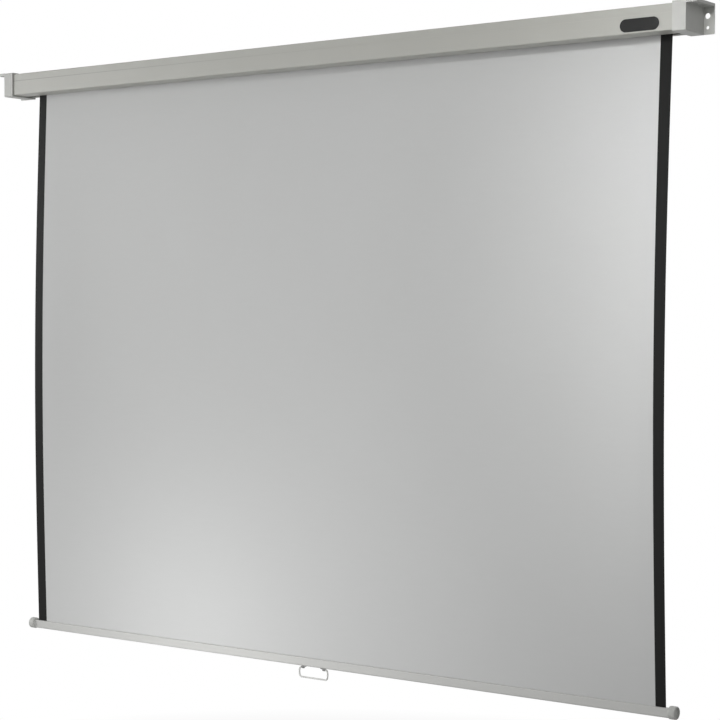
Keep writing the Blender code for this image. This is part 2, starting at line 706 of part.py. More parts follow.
def build_spring_collar():
    """The collar on the fixed shaft that holds the spring's outer end."""
    bore = SHAFT_RADIUS + SEAT_GAP
    hub_end = -(COLLAR_INNER_FACE - SPRING_HUB_LENGTH)
    profile = [
        (-COLLAR_OUTER_FACE, bore),
        (-COLLAR_OUTER_FACE, COLLAR_FLANGE_RADIUS),
        (-COLLAR_INNER_FACE, COLLAR_FLANGE_RADIUS),
        (-COLLAR_INNER_FACE, spring_hub_radius()),
        (hub_end, spring_hub_radius()),
        (hub_end, bore),
    ]
    axis = (ROLLER_Y, ROLLER_Z)
    collar = piece("spring_collar", turned(profile, "X", axis), DARK_PLASTIC)
    hole = tail_hole(-1, -COLLAR_INNER_FACE, COLLAR_FLANGE_THICKNESS + SEAT_GAP, axis)
    combine(collar, helper("spring_collar_hole", hole), "DIFFERENCE")


def spring_path():
    """The wire's centre line: a straight tail, a bend, the coil, a bend and the other tail."""

    def on_coil(along, turned_by):
        return (along, SPRING_RADIUS * math.cos(turned_by), SPRING_RADIUS * math.sin(turned_by))

    bend_turn = SPRING_BEND_RADIUS / SPRING_RADIUS
    quarter = [math.pi / 2 * i / SPRING_BEND_STEPS for i in range(SPRING_BEND_STEPS + 1)]
    start = -COIL_START
    end = -COIL_END
    path = [on_coil(start - SPRING_BEND_RADIUS - SPRING_TAIL_LENGTH + SPRING_TAIL_STANDOFF, 0)]
    for bend in quarter:
        before = SPRING_BEND_RADIUS * (1 - math.sin(bend))
        path.append(on_coil(start - before, bend_turn * (1 - math.cos(bend))))
    steps = SPRING_TURNS * SPRING_POINTS_PER_TURN
    full_turn = math.tau * SPRING_TURNS - 2 * bend_turn
    for step in range(1, steps):
        share = step / steps
        path.append(on_coil(start + share * SPRING_COIL_LENGTH, bend_turn + share * full_turn))
    for bend in reversed(quarter):
        after = SPRING_BEND_RADIUS * (1 - math.sin(bend))
        path.append(on_coil(end + after, -bend_turn * (1 - math.cos(bend))))
    path.append(on_coil(end + SPRING_BEND_RADIUS + SPRING_TAIL_LENGTH - SPRING_TAIL_STANDOFF, 0))
    return path


def build_torsion_spring():
    """The spring that winds the screen up."""
    location = (0, ROLLER_Y, ROLLER_Z)
    swept_wire("torsion_spring", spring_path(), SPRING_WIRE, SPRING_SIDES, SPRING_STEEL, None, location)


def build_roller(roller):
    """The tube, the fabric that stays wound on it, and the pieces that turn with it."""
    inside = TUBE_RADIUS - TUBE_WALL
    tube = [
        (-TUBE_SPRING_END, inside),
        (-TUBE_SPRING_END, TUBE_RADIUS),
        (TUBE_IDLE_END, TUBE_RADIUS),
        (TUBE_IDLE_END, inside),
    ]
    piece("roller_tube", turned(tube, "X"), MILL_ALUMINIUM, roller)
    wrap_inside = TUBE_RADIUS + SEAT_GAP
    wraps = [
        (FABRIC_LEFT, wrap_inside),
        (FABRIC_LEFT, WRAP_RADIUS),
        (FABRIC_RIGHT, WRAP_RADIUS),
        (FABRIC_RIGHT, wrap_inside),
    ]
    piece("fabric_wraps", turned(wraps, "X"), SCREEN_CLOTH, roller)
    build_spring_end_plug(roller)
    build_idle_end(roller)
    build_spring_anchor(roller)


def build_spring_end_plug(roller):
    """The plug at the spring end, which turns on the shaft and carries the two pawls."""
    bore = SHAFT_RADIUS + SEAT_GAP
    body = TUBE_RADIUS - TUBE_WALL - SEAT_GAP
    flange_back = PLUG_FACE - PLUG_FLANGE_THICKNESS
    profile = [
        (-PLUG_FACE, bore),
        (-PLUG_FACE, TUBE_RADIUS),
        (-flange_back, TUBE_RADIUS),
        (-flange_back, body),
        (-PLUG_BODY_END, body),
        (-PLUG_BODY_END, bore),
    ]
    plug = piece("spring_end_plug", turned(profile, "X"), DARK_PLASTIC, roller)
    bm = bmesh.new()
    for way in (-1, 1):
        outline = circle((0, way * PAWL_PIVOT_RADIUS), PAWL_PIN_RADIUS + SEAT_GAP, SMALL_SEGMENTS)
        deep = PLUG_FACE - PAWL_PIN_DEPTH - SEAT_GAP
        add_prism(bm, [outline], "X", -(PLUG_FACE + SEAT_GAP), -deep)
    combine(plug, helper("pawl_pin_holes", bm, roller), "DIFFERENCE")


def build_idle_end(roller):
    """The plug at the idle end and the pin that turns in the right end cap's bush."""
    bore = IDLE_PIN_RADIUS + SEAT_GAP
    body = TUBE_RADIUS - TUBE_WALL - SEAT_GAP
    flange_back = IDLE_FACE - IDLE_FLANGE_THICKNESS
    profile = [
        (IDLE_BODY_END, bore),
        (IDLE_BODY_END, body),
        (flange_back, body),
        (flange_back, TUBE_RADIUS),
        (IDLE_FACE, TUBE_RADIUS),
        (IDLE_FACE, bore),
    ]
    piece("idle_end_plug", turned(profile, "X"), DARK_PLASTIC, roller)
    pin_tip = CAP_INNER_FACE - IDLE_PIN_END_PLAY
    pin = [
        (IDLE_BODY_END, 0),
        (IDLE_BODY_END, IDLE_PIN_RADIUS),
        (pin_tip - IDLE_PIN_RADIUS / 3, IDLE_PIN_RADIUS),
        (pin_tip, IDLE_PIN_RADIUS * 2 / 3),
        (pin_tip, 0),
    ]
    piece("idle_pin", turned(pin, "X"), ZINC_STEEL, roller)


def build_spring_anchor(roller):
    """The anchor that holds the spring's inner end in the tube."""
    bore = SHAFT_RADIUS + SEAT_GAP
    body = TUBE_RADIUS - TUBE_WALL - SEAT_GAP
    hub_end = -(ANCHOR_FACE + SPRING_HUB_LENGTH)
    far_end = -(ANCHOR_FACE - ANCHOR_LENGTH)
    profile = [
        (hub_end, bore),
        (hub_end, spring_hub_radius()),
        (-ANCHOR_FACE, spring_hub_radius()),
        (-ANCHOR_FACE, body),
        (far_end, body),
        (far_end, bore),
    ]
    anchor = piece("spring_anchor", turned(profile, "X"), DARK_PLASTIC, roller)
    hole = tail_hole(1, -ANCHOR_FACE, SPRING_TAIL_LENGTH + SEAT_GAP)
    combine(anchor, helper("spring_anchor_hole", hole, roller), "DIFFERENCE")


def pawl_outline():
    """The lifted pawl round the roller's axis: inner edge, hub, tapering back and nose."""
    pivot = (0, PAWL_PIVOT_RADIUS)
    inner_edge = arc((0, 0), PAWL_EDGE_RADIUS, NOSE_ANGLE, PAWL_EDGE_START_ANGLE, 2 * CORNER_STEPS)
    hub = arc(pivot, PAWL_HUB_RADIUS, *PAWL_HUB_ANGLES, 3 * CORNER_STEPS)
    hub_end = Vector(hub[-1])
    back_radius = hub_end.length
    back_angle = math.degrees(math.atan2(hub_end.y, hub_end.x))
    nose_radius = PAWL_EDGE_RADIUS + PAWL_NOSE_HEIGHT
    nose_back = NOSE_ANGLE - PAWL_NOSE_BACK_ANGLE
    back = []
    for step in range(1, CORNER_STEPS + 1):
        share = step / CORNER_STEPS
        radius = back_radius + (nose_radius - back_radius) * share
        back.append(polar(radius, back_angle + (nose_back - back_angle) * share))
    return [(across, up - PAWL_PIVOT_RADIUS) for across, up in inner_edge + hub + back]


def build_pawls(roller):
    """The two pawls on opposite sides of the ratchet wheel, each on its own pin."""
    near = PLUG_FACE + SEAT_GAP
    far = near + PAWL_THICKNESS
    head_near = far + SEAT_GAP
    head_far = head_near + PAWL_PIN_HEAD_THICKNESS
    pin = [
        (-(PLUG_FACE - PAWL_PIN_DEPTH), 0),
        (-(PLUG_FACE - PAWL_PIN_DEPTH), PAWL_PIN_RADIUS),
        (-head_near, PAWL_PIN_RADIUS),
        (-head_near, PAWL_PIN_HEAD_RADIUS),
        (-head_far, PAWL_PIN_HEAD_RADIUS),
        (-head_far, 0),
    ]
    for letter, way in (("a", 1), ("b", -1)):
        pivot = (0, way * PAWL_PIVOT_RADIUS)
        piece("pawl_pin_" + letter, turned(pin, "X", pivot, SMALL_SEGMENTS), ZINC_STEEL, roller)
        outline = [(way * across, way * up) for across, up in pawl_outline()]
        bore = circle((0, 0), PAWL_PIN_RADIUS + SEAT_GAP, SMALL_SEGMENTS)
        piece("pawl_" + letter, prism([outline, bore], "X", -near, -far), ZINC_STEEL, roller, (0, *pivot))


def build_fabric():
    """The fabric that hangs from the roller to the bar's groove, as a plain flat sheet."""
    half = FABRIC_THICKNESS / 2
    bottom = BAR_Z + KEDER_HEIGHT + KEDER_RADIUS + SEAT_GAP
    outline = rectangle((FABRIC_Y - half, bottom), (FABRIC_Y + half, ROLLER_Z))
    piece("screen_fabric", prism([outline], "X", FABRIC_LEFT, FABRIC_RIGHT), SCREEN_CLOTH)


def bar_outline():
    """The bar's outside, with the keder's groove open at the top, round the bar's centre."""
    half_depth = BAR_DEPTH / 2
    half_height = BAR_HEIGHT / 2
    top = BAR_TOP_RADIUS
    low = BAR_BOTTOM_RADIUS
    half_groove = KEDER_GROOVE_WIDTH / 2
    cavity_radius = KEDER_RADIUS + 4 * SEAT_GAP / 3
    cavity = (0, KEDER_HEIGHT)
    opening = 90 - math.degrees(math.asin(half_groove / cavity_radius))
    return (
        [(-half_groove, half_height)]
        + arc((-half_depth + top, half_height - top), top, 90, 180)
        + arc((-half_depth + low, -half_height + low), low, 180, 270)
        + arc((half_depth - low, -half_height + low), low, 270, 360)
        + arc((half_depth - top, half_height - top), top, 0, 90)
        + [(half_groove, half_height)]
        + arc(cavity, cavity_radius, opening, -180 - opening, 4 * CORNER_STEPS)
    )


def build_bar(hem):
    """The bottom bar, the keder in its groove and the round caps on its ends."""
    half_depth = BAR_DEPTH / 2
    half_height = BAR_HEIGHT / 2
    chamber_top = KEDER_HEIGHT - KEDER_RADIUS - BAR_WALL
    chamber = rounded_rectangle(
        (-half_depth + BAR_WALL, -half_height + BAR_WALL),
        (half_depth - BAR_WALL, chamber_top),
        (BAR_BOTTOM_RADIUS - BAR_WALL,) * 4,
    )
    bar = piece("bottom_bar", prism([bar_outline(), chamber], "X", -BAR_END, BAR_END), BAR_PAINT, hem)
    bm = bmesh.new()
    for way in (-1, 1):
        outline = circle((way * CLIP_SCREW_X, 0), CLIP_SCREW_SHANK_RADIUS + SEAT_GAP, SMALL_SEGMENTS)
        add_prism(bm, [outline], "Z", -half_height - BAR_WALL, -half_height + 2 * BAR_WALL)
    combine(bar, helper("clip_screw_holes", bm, hem), "DIFFERENCE")
    half_width = FABRIC_WIDTH / 2
    rod = prism([circle((0, KEDER_HEIGHT), KEDER_RADIUS, SMALL_SEGMENTS)], "X", -half_width, half_width)
    piece("fabric_keder", rod, WHITE_PLASTIC, hem)
    for side, word in ((-1, "left"), (1, "right")):
        build_bar_cap(side, word, hem)


def build_bar_cap(side, word, hem):
    """A round cap, a little above the bar's middle, whose pocket fits the bar's end."""
    near = BAR_CAP_INNER_FACE
    far = near + BAR_CAP_LENGTH
    rounding = BAR_CAP_ROUNDING
    rim = BAR_CAP_RADIUS - rounding
    profile = (
        [(side * near, 0)]
        + [(side * (near + rounding - x), rim + r) for x, r in arc((0, 0), rounding, 0, 90)]
        + [(side * (far - rounding + x), rim + r) for r, x in arc((0, 0), rounding, 0, 90)]
        + [(side * far, 0)]
    )
    cap = piece("bar_cap_" + word, turned(profile, "X", (0, BAR_CAP_RISE)), PAINTED_CAP, hem)
    grown = SEAT_GAP
    pocket_outline = rounded_rectangle(
        (-BAR_DEPTH / 2 - grown, -BAR_HEIGHT / 2 - grown),
        (BAR_DEPTH / 2 + grown, BAR_HEIGHT / 2 + grown),
        (BAR_BOTTOM_RADIUS, BAR_BOTTOM_RADIUS, BAR_TOP_RADIUS, BAR_TOP_RADIUS),
    )
    pocket = prism([pocket_outline], "X", side * (near - grown), side * (near + BAR_CAP_POCKET))
    combine(cap, helper("bar_cap_pocket_" + word, pocket, hem), "DIFFERENCE")


def build_clip(side, word, grip):
    """A clip under the bar: a barrel that the bail turns in and a tab for its screw."""
    half_width = BAR_DEPTH / 2 - BAR_BOTTOM_RADIUS
    bore_radius = HANDLE_WIRE / 2 + SEAT_GAP
    barrel_radius = bore_radius + CLIP_WALL
    outline = [(half_width, CLIP_SEAT), (-half_width, CLIP_SEAT)] + arc(
        (0, 0), barrel_radius, 180, 360, 2 * CORNER_STEPS
    )
    middle = side * CLIP_SPACING / 2
    outer = middle + side * CLIP_BARREL_LENGTH / 2
    inner = middle - side * CLIP_BARREL_LENGTH / 2
    barrel = prism([outline, circle((0, 0), bore_radius, SMALL_SEGMENTS)], "X", inner, outer)
    clip = piece("handle_clip_" + word, barrel, DARK_PLASTIC, grip)
    tab_outline = rectangle((-half_width, CLIP_SEAT - CLIP_TAB_THICKNESS), (half_width, CLIP_SEAT))
    tab_end = inner - side * CLIP_TAB_LENGTH
    tab = prism([tab_outline], "X", inner + side * CLIP_WALL, tab_end)
    combine(clip, helper("handle_clip_tab_" + word, tab, grip), "UNION")
    hole_outline = circle((side * CLIP_SCREW_X, 0), CLIP_SCREW_SHANK_RADIUS + SEAT_GAP, SMALL_SEGMENTS)
    hole = prism([hole_outline], "Z", CLIP_SEAT - 2 * CLIP_TAB_THICKNESS, CLIP_SEAT + SEAT_GAP)
    combine(clip, helper("handle_clip_hole_" + word, hole, grip), "DIFFERENCE")
    head_top = CLIP_SEAT - CLIP_TAB_THICKNESS - SEAT_GAP
    head_low = head_top - CLIP_SCREW_HEAD_HEIGHT
    profile = [
        (head_low, 0),
        (head_low, CLIP_SCREW_HEAD_RADIUS * 2 / 3),
        (head_low + CLIP_SCREW_HEAD_HEIGHT / 2, CLIP_SCREW_HEAD_RADIUS),
        (head_top, CLIP_SCREW_HEAD_RADIUS),
        (head_top, CLIP_SCREW_SHANK_RADIUS),
        (head_top + CLIP_SCREW_LENGTH, CLIP_SCREW_SHANK_RADIUS),
        (head_top + CLIP_SCREW_LENGTH, 0),
    ]
    screw = turned(profile, "Z", (side * CLIP_SCREW_X, 0), SMALL_SEGMENTS)
    piece("clip_screw_" + word, screw, ZINC_STEEL, grip)


def bail_path():
    """The bail's centre line: its ends along the pivot, then two bowed sides and a straight grip."""
    depth = HANDLE_DROP - PIVOT_BELOW_BAR - HANDLE_WIRE / 2
    top = HANDLE_TOP_RADIUS
    corner = HANDLE_CORNER_RADIUS
    rise = math.sin(HANDLE_LEAN)
    side = (depth - (top + corner) * (1 - rise)) / (2 * rise)
    widest = HANDLE_WIDTH / 2 - HANDLE_WIRE / 2
    side_centre = Vector((widest - side, -top * (1 - rise) - side * rise))
    outward = Vector((math.cos(HANDLE_LEAN), rise))
    top_centre = side_centre + (side - top) * outward
    corner_centre = side_centre + (side - corner) * Vector((outward.x, -outward.y))
    lean = math.degrees(HANDLE_LEAN)
    half = (
        [(CLIP_SPACING / 2 - CLIP_BARREL_LENGTH / 2, 0)]
        + arc(top_centre, top, 90, lean, WIRE_BEND_STEPS)
        + arc(side_centre, side, lean, -lean)[1:]
        + arc(corner_centre, corner, -lean, -90, WIRE_BEND_STEPS)[1:]
    )
    other_half = [(-across, up) for across, up in reversed(half)]
    return [(across, 0, up) for across, up in half + other_half]


def build_handle():
    """The pull handle: two clips with their screws, and the wire bail that swings in them."""
    grip = empty("handle_pivot", (FABRIC_MIDDLE, FABRIC_Y, PIVOT_Z))
    for side, word in ((-1, "left"), (1, "right")):
        build_clip(side, word, grip)
    swept_wire("handle_bail", bail_path(), HANDLE_WIRE, HANDLE_SIDES, HANDLE_PLASTIC, grip)


def main():
    """Clears the scene and builds every piece."""
    clear_scene()
    build_case()
    for side, word in ((-1, "left"), (1, "right")):
        build_end_cap(side, "end_cap_" + word)
        build_cap_screws(side, word)
    build_badge()
    build_idle_bush()
    build_spear_shaft()
    build_ratchet_wheel()
    build_spring_collar()
    build_torsion_spring()
    roller = empty("roller_axis", (0, ROLLER_Y, ROLLER_Z))
    build_roller(roller)
    build_pawls(roller)
    build_fabric()
    build_bar(empty("bar_centre", (FABRIC_MIDDLE, FABRIC_Y, BAR_Z)))
    build_handle()
    even_shading()


main()
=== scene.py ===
"""The finished look of a pull down projector screen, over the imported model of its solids.

Every length is in metres, in the solids' own frame: X runs along the case, -Y points into the room and
the wall is the plane Y = 0. Each sub-assembly is a class that builds its surfaces and dresses them.
"""

from __future__ import annotations

import json
import logging
import math
from dataclasses import dataclass
from enum import Enum
from typing import Any, Sequence

import bmesh
import bpy
import numpy as np
from mathutils import Matrix, Vector

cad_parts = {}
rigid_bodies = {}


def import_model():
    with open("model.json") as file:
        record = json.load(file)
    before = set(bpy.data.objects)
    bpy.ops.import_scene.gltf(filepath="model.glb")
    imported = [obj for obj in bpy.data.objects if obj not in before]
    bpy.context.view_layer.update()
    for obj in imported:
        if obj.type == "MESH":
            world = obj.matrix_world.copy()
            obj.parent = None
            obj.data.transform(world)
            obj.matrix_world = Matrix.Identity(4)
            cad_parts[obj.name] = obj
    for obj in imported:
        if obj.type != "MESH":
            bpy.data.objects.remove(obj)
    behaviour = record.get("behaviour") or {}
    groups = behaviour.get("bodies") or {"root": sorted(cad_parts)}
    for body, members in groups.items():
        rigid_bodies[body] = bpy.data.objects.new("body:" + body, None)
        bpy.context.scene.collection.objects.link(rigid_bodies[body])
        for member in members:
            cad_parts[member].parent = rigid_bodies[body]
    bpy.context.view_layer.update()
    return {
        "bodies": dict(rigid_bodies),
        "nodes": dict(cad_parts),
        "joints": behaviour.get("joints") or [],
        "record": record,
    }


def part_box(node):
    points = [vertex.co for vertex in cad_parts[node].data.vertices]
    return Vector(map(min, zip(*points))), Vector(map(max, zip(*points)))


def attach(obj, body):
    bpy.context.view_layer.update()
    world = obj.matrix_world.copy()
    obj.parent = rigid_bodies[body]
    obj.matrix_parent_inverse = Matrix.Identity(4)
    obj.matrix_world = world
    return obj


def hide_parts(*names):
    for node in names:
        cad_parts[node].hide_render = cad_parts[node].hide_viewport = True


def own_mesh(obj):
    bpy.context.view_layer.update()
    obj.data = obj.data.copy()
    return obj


LOG = logging.getLogger("projector_screen")

Triple = tuple[float, float, float]
Colour = Triple
Span = tuple[float, float]
MERGE_DISTANCE = 1e-6
FLAT_ANGLE = math.radians(0.6)
NOISE_SPAN: Span = (0.3, 0.7)
TINY = 1e-9


class Axis(Enum):
    """The direction that a turned surface's axis runs in."""

    X = "x"
    Z = "z"


class Grain(Enum):
    """The fine surface of a moulded or coated piece."""

    SPARKED = "sparked"
    SMOOTH = "smooth"


class Signal:
    """A shader socket that adds, subtracts and multiplies like a number."""

    def __init__(self, socket: bpy.types.NodeSocket) -> None:
        """Wraps an output socket that carries a number."""
        self.socket = socket

    def _math(self, operation: str, first: Any, second: Any = None) -> Signal:
        """Adds a Math node on one or two numbers or signals, and gives its output."""
        tree = self.socket.id_data
        node = tree.nodes.new("ShaderNodeMath")
        node.operation = operation
        for slot, given in zip(node.inputs, (first, second)):
            if isinstance(given, Signal):
                tree.links.new(given.socket, slot)
            elif given is not None:
                slot.default_value = given
        return Signal(node.outputs[0])

    def __add__(self, other: Any) -> Signal:
        """The sum of the two."""
        return self._math("ADD", self, other)

    def __sub__(self, other: Any) -> Signal:
        """This signal less the other."""
        return self._math("SUBTRACT", self, other)

    def __rsub__(self, other: Any) -> Signal:
        """The other less this signal."""
        return self._math("SUBTRACT", other, self)

    def __mul__(self, other: Any) -> Signal:
        """The product of the two."""
        return self._math("MULTIPLY", self, other)

    __radd__ = __add__
    __rmul__ = __mul__

    def __pow__(self, other: Any) -> Signal:
        """This signal raised to the other."""
        return self._math("POWER", self, other)

    def sine(self) -> Signal:
        """The sine of this signal, in radians."""
        return self._math("SINE", self)

    def larger(self, other: Any) -> Signal:
        """The larger of the two."""
        return self._math("MAXIMUM", self, other)

    def ramp(self, low: float, high: float) -> Signal:
        """Zero at low, one at high, straight between and held outside."""
        share = self._math("DIVIDE", self - low, high - low)
        share.socket.node.use_clamp = True
        return share


class Recipe:
    """The nodes of one material, built in order round its Principled shader."""

    def __init__(self, name: str) -> None:
        """Starts a material of this name that holds only a Principled shader."""
        self.material = bpy.data.materials.new(name)
        self.material.use_nodes = True
        self.tree = self.material.node_tree
        self.shader = self.tree.nodes["Principled BSDF"]

    def node(self, kind: str, settings: dict[str, Any] | None = None, **inputs: Any) -> bpy.types.Node:
        """Adds a node, with its own settings and its sockets by name, an underscore for each blank."""
        made = self.tree.nodes.new(kind)
        for setting, given in (settings or {}).items():
            setattr(made, setting, given)
        for name, given in inputs.items():
            self.feed(made, name.replace("_", " "), given)
        return made

    def feed(self, node: bpy.types.Node, name: str, given: Any) -> None:
        """Gives an input of a node a plain value, or links a signal or an output socket to it."""
        slot = next(item for item in node.inputs if item.name == name and item.enabled)
        if isinstance(given, Signal):
            given = given.socket
        if isinstance(given, bpy.types.NodeSocket):
            self.tree.links.new(given, slot)
        elif slot.type == "RGBA":
            slot.default_value = (*given, 1.0)
        else:
            slot.default_value = given

    def axes(self, vector: bpy.types.NodeSocket) -> list[Signal]:
        """The X, Y and Z of a vector."""
        return [Signal(part) for part in self.node("ShaderNodeSeparateXYZ", Vector=vector).outputs]

    def stretched(self, where: bpy.types.NodeSocket, stretch: Triple) -> bpy.types.NodeSocket:
        """The coordinates times the factors along X, Y and Z."""
        return self.node("ShaderNodeMapping", Vector=where, Scale=stretch).outputs["Vector"]

    def place(self, stretch: Triple = (1.0, 1.0, 1.0)) -> bpy.types.NodeSocket:
        """The object coordinates in metres, stretched for a pattern."""
        return self.stretched(self.node("ShaderNodeTexCoord").outputs["Object"], stretch)

    def noise(
        self, vector: bpy.types.NodeSocket, scale: float, detail: float = 3.0, rough: float = 0.5
    ) -> Signal:
        """Cloudy noise from about zero to one, by its cells per metre, its octaves and their weight."""
        sockets = {"Vector": vector, "Scale": scale, "Detail": detail, "Roughness": rough}
        return Signal(self.node("ShaderNodeTexNoise", **sockets).outputs["Fac"])

    def blend(self, share: Any, low: Any, high: Any) -> bpy.types.NodeSocket:
        """The colour from low, where the share is zero, to high, where it is one."""
        mixer = self.node("ShaderNodeMix", {"data_type": "RGBA"}, Factor=share, A=low, B=high)
        return next(item for item in mixer.outputs if item.enabled)

    def shades(self, share: Any, colour: Colour, span: Span) -> bpy.types.NodeSocket:
        """The colour times a factor that runs over the span as the share goes from zero to one."""
        return self.blend(share, *(shade(colour, factor) for factor in span))

    def bump(self, height: Signal, distance: float, strength: float = 1.0) -> None:
        """Feeds a height in metres, through a Bump node, to the shader's Normal."""
        made = self.node("ShaderNodeBump", Height=height, Distance=distance, Strength=strength)
        self.feed(self.shader, "Normal", made.outputs["Normal"])

    def surface(self, colour: Any, roughness: Any, **still: float) -> bpy.types.Material:
        """Feeds the shader's colour and roughness, and its sockets that are the same all over."""
        self.feed(self.shader, "Base Color", colour)
        self.feed(self.shader, "Roughness", roughness)
        for name, given in still.items():
            self.feed(self.shader, name.replace("_", " "), given)
        return self.material


def shade(colour: Colour, factor: float) -> Colour:
    """The colour with each channel times the factor."""
    return tuple(channel * factor for channel in colour)


@dataclass(frozen=True)
class Groove:
    """A drawn groove in an extrusion's front, with painted shading in it: painted shade at the left end that
    gives way to a little painted light towards the right.

    The painted shading is the paint's colour times its first factor up to its first end along X, and times
    its second factor past its second end; it stands in for light and shade in the groove.
    """

    height: float = 0.0120
    half_width: float = 0.0009
    front: float = -0.1040
    depth: float = 0.0030
    edge: float = 0.0002
    soft_share: float = 0.1
    # Factors and ends along X of the painted shading in the groove: darker than the paint at the left, a
    # little lighter past the right end.
    painted_shading_factors: Span = (0.60, 1.05)
    painted_shading_ends: Span = (-1.28, 0.40)

    def painted_shading(self, recipe: Recipe, paint: bpy.types.NodeSocket, colour: Colour) -> bpy.types.NodeSocket:
        """The paint, with painted shading of the colour inside the groove."""
        across, inward, up = recipe.axes(recipe.place())
        off = up - self.height
        floor = self.front + self.depth
        outer, inner = (self.half_width * (1 + side * self.soft_share) for side in (1, -1))
        inside = ((off * off) ** 0.5).ramp(outer, inner)
        inside *= inward.ramp(self.front, self.front + self.edge) * inward.ramp(floor, floor - self.edge)
        # Painted shade and light: the groove's inside is darkened towards the left end and lightened a little
        # past the right end.
        painted_shading = recipe.shades(across.ramp(*self.painted_shading_ends), colour, self.painted_shading_factors)
        return recipe.blend(inside, paint, painted_shading)


@dataclass(frozen=True)
class SatinPaint:
    """Powder paint on an extrusion: a fine orange peel and faint draw lines, with painted shade in a groove.
    """

    name: str
    colour: Colour
    roughness: float = 0.50
    groove: Groove | None = None
    peel_cells: float = 900.0
    cloud_cells: float = 5.0
    draw_stretch: Triple = (1.5, 420.0, 420.0)
    mottle: Span = (0.985, 1.015)
    cloud_sheen: float = 0.05
    drawn_sheen: float = 0.04
    peel_share: float = 0.6
    relief: float = 0.00004

    def material(self) -> bpy.types.Material:
        """The paint's material."""
        recipe = Recipe(self.name)
        peel = recipe.noise(recipe.place(), self.peel_cells, detail=2.0)
        drawn = recipe.noise(recipe.place(self.draw_stretch), 1.0, detail=2.0)
        cloud = recipe.noise(recipe.place(), self.cloud_cells, detail=4.0)
        colour = recipe.shades(cloud.ramp(*NOISE_SPAN), self.colour, self.mottle)
        if self.groove:
            # Paints shade and light into the groove.
            colour = self.groove.painted_shading(recipe, colour, self.colour)
        roughness = self.roughness + self.cloud_sheen * (cloud - 0.5) + self.drawn_sheen * (drawn - 0.5)
        recipe.bump(self.peel_share * peel + (1 - self.peel_share) * drawn, self.relief)
        return recipe.surface(colour, roughness)


@dataclass(frozen=True)
class MouldedPlastic:
    """Moulded plastic with the grain of its mould."""

    name: str
    colour: Colour
    roughness: float = 0.45
    grain: Grain = Grain.SPARKED
    gloss: float = 0.5
    mottle: Span = (0.97, 1.03)
    cloud_sheen: float = 0.08
    cloud_cells: float = 40.0
    spark_cells: float = 1600.0
    relief: float = 0.00006

    def material(self) -> bpy.types.Material:
        """The plastic's material."""
        recipe = Recipe(self.name)
        cloud = recipe.noise(recipe.place(), self.cloud_cells)
        colour = recipe.shades(cloud.ramp(*NOISE_SPAN), self.colour, self.mottle)
        roughness = self.roughness + self.cloud_sheen * (cloud - 0.5)
        if self.grain is Grain.SPARKED:
            recipe.bump(recipe.noise(recipe.place(), self.spark_cells, rough=0.7), self.relief)
        return recipe.surface(colour, roughness, Specular_IOR_Level=self.gloss)


@dataclass(frozen=True)
class PlainMetal:
    """Plated, drawn or oiled metal with fine lines along the case."""

    name: str
    colour: Colour
    roughness: float = 0.3
    line_stretch: Triple = (12.0, 700.0, 700.0)
    mottle: Span = (0.93, 1.0)
    cloud_sheen: float = 0.08
    line_sheen: float = 0.12
    cloud_cells: float = 60.0
    relief: float = 0.00003

    def material(self) -> bpy.types.Material:
        """The metal's material."""
        recipe = Recipe(self.name)
        lines = recipe.noise(recipe.place(self.line_stretch), 1.0)
        cloud = recipe.noise(recipe.place(), self.cloud_cells)
        colour = recipe.shades(cloud.ramp(*NOISE_SPAN), self.colour, self.mottle)
        roughness = self.roughness + self.line_sheen * (lines - 0.5) + self.cloud_sheen * (cloud - 0.5)
        recipe.bump(lines, self.relief)
        return recipe.surface(colour, roughness, Metallic=1.0)


@dataclass(frozen=True)
class ClothBack:
    """The cloth's black back, which is the side that shows where the cloth is wound on the roller."""

    name: str = "wound_cloth_back"
    black: Colour = (0.012, 0.012, 0.0117)
    black_shades: Span = (0.85, 1.2)
    black_roughness: float = 0.63
    cloud_sheen: float = 0.04
    fleck_cells: float = 700.0
    relief: float = 0.00005
    relief_strength: float = 0.6
    gloss: float = 0.1

    def material(self) -> bpy.types.Material:
        """The black back's material."""
        recipe = Recipe(self.name)
        fleck = recipe.noise(recipe.place(), self.fleck_cells, detail=2.0)
        colour = recipe.shades(fleck, self.black, self.black_shades)
        recipe.bump(fleck, self.relief, self.relief_strength)
        roughness = self.black_roughness + self.cloud_sheen * (fleck - 0.5)
        return recipe.surface(colour, roughness, Specular_IOR_Level=self.gloss)


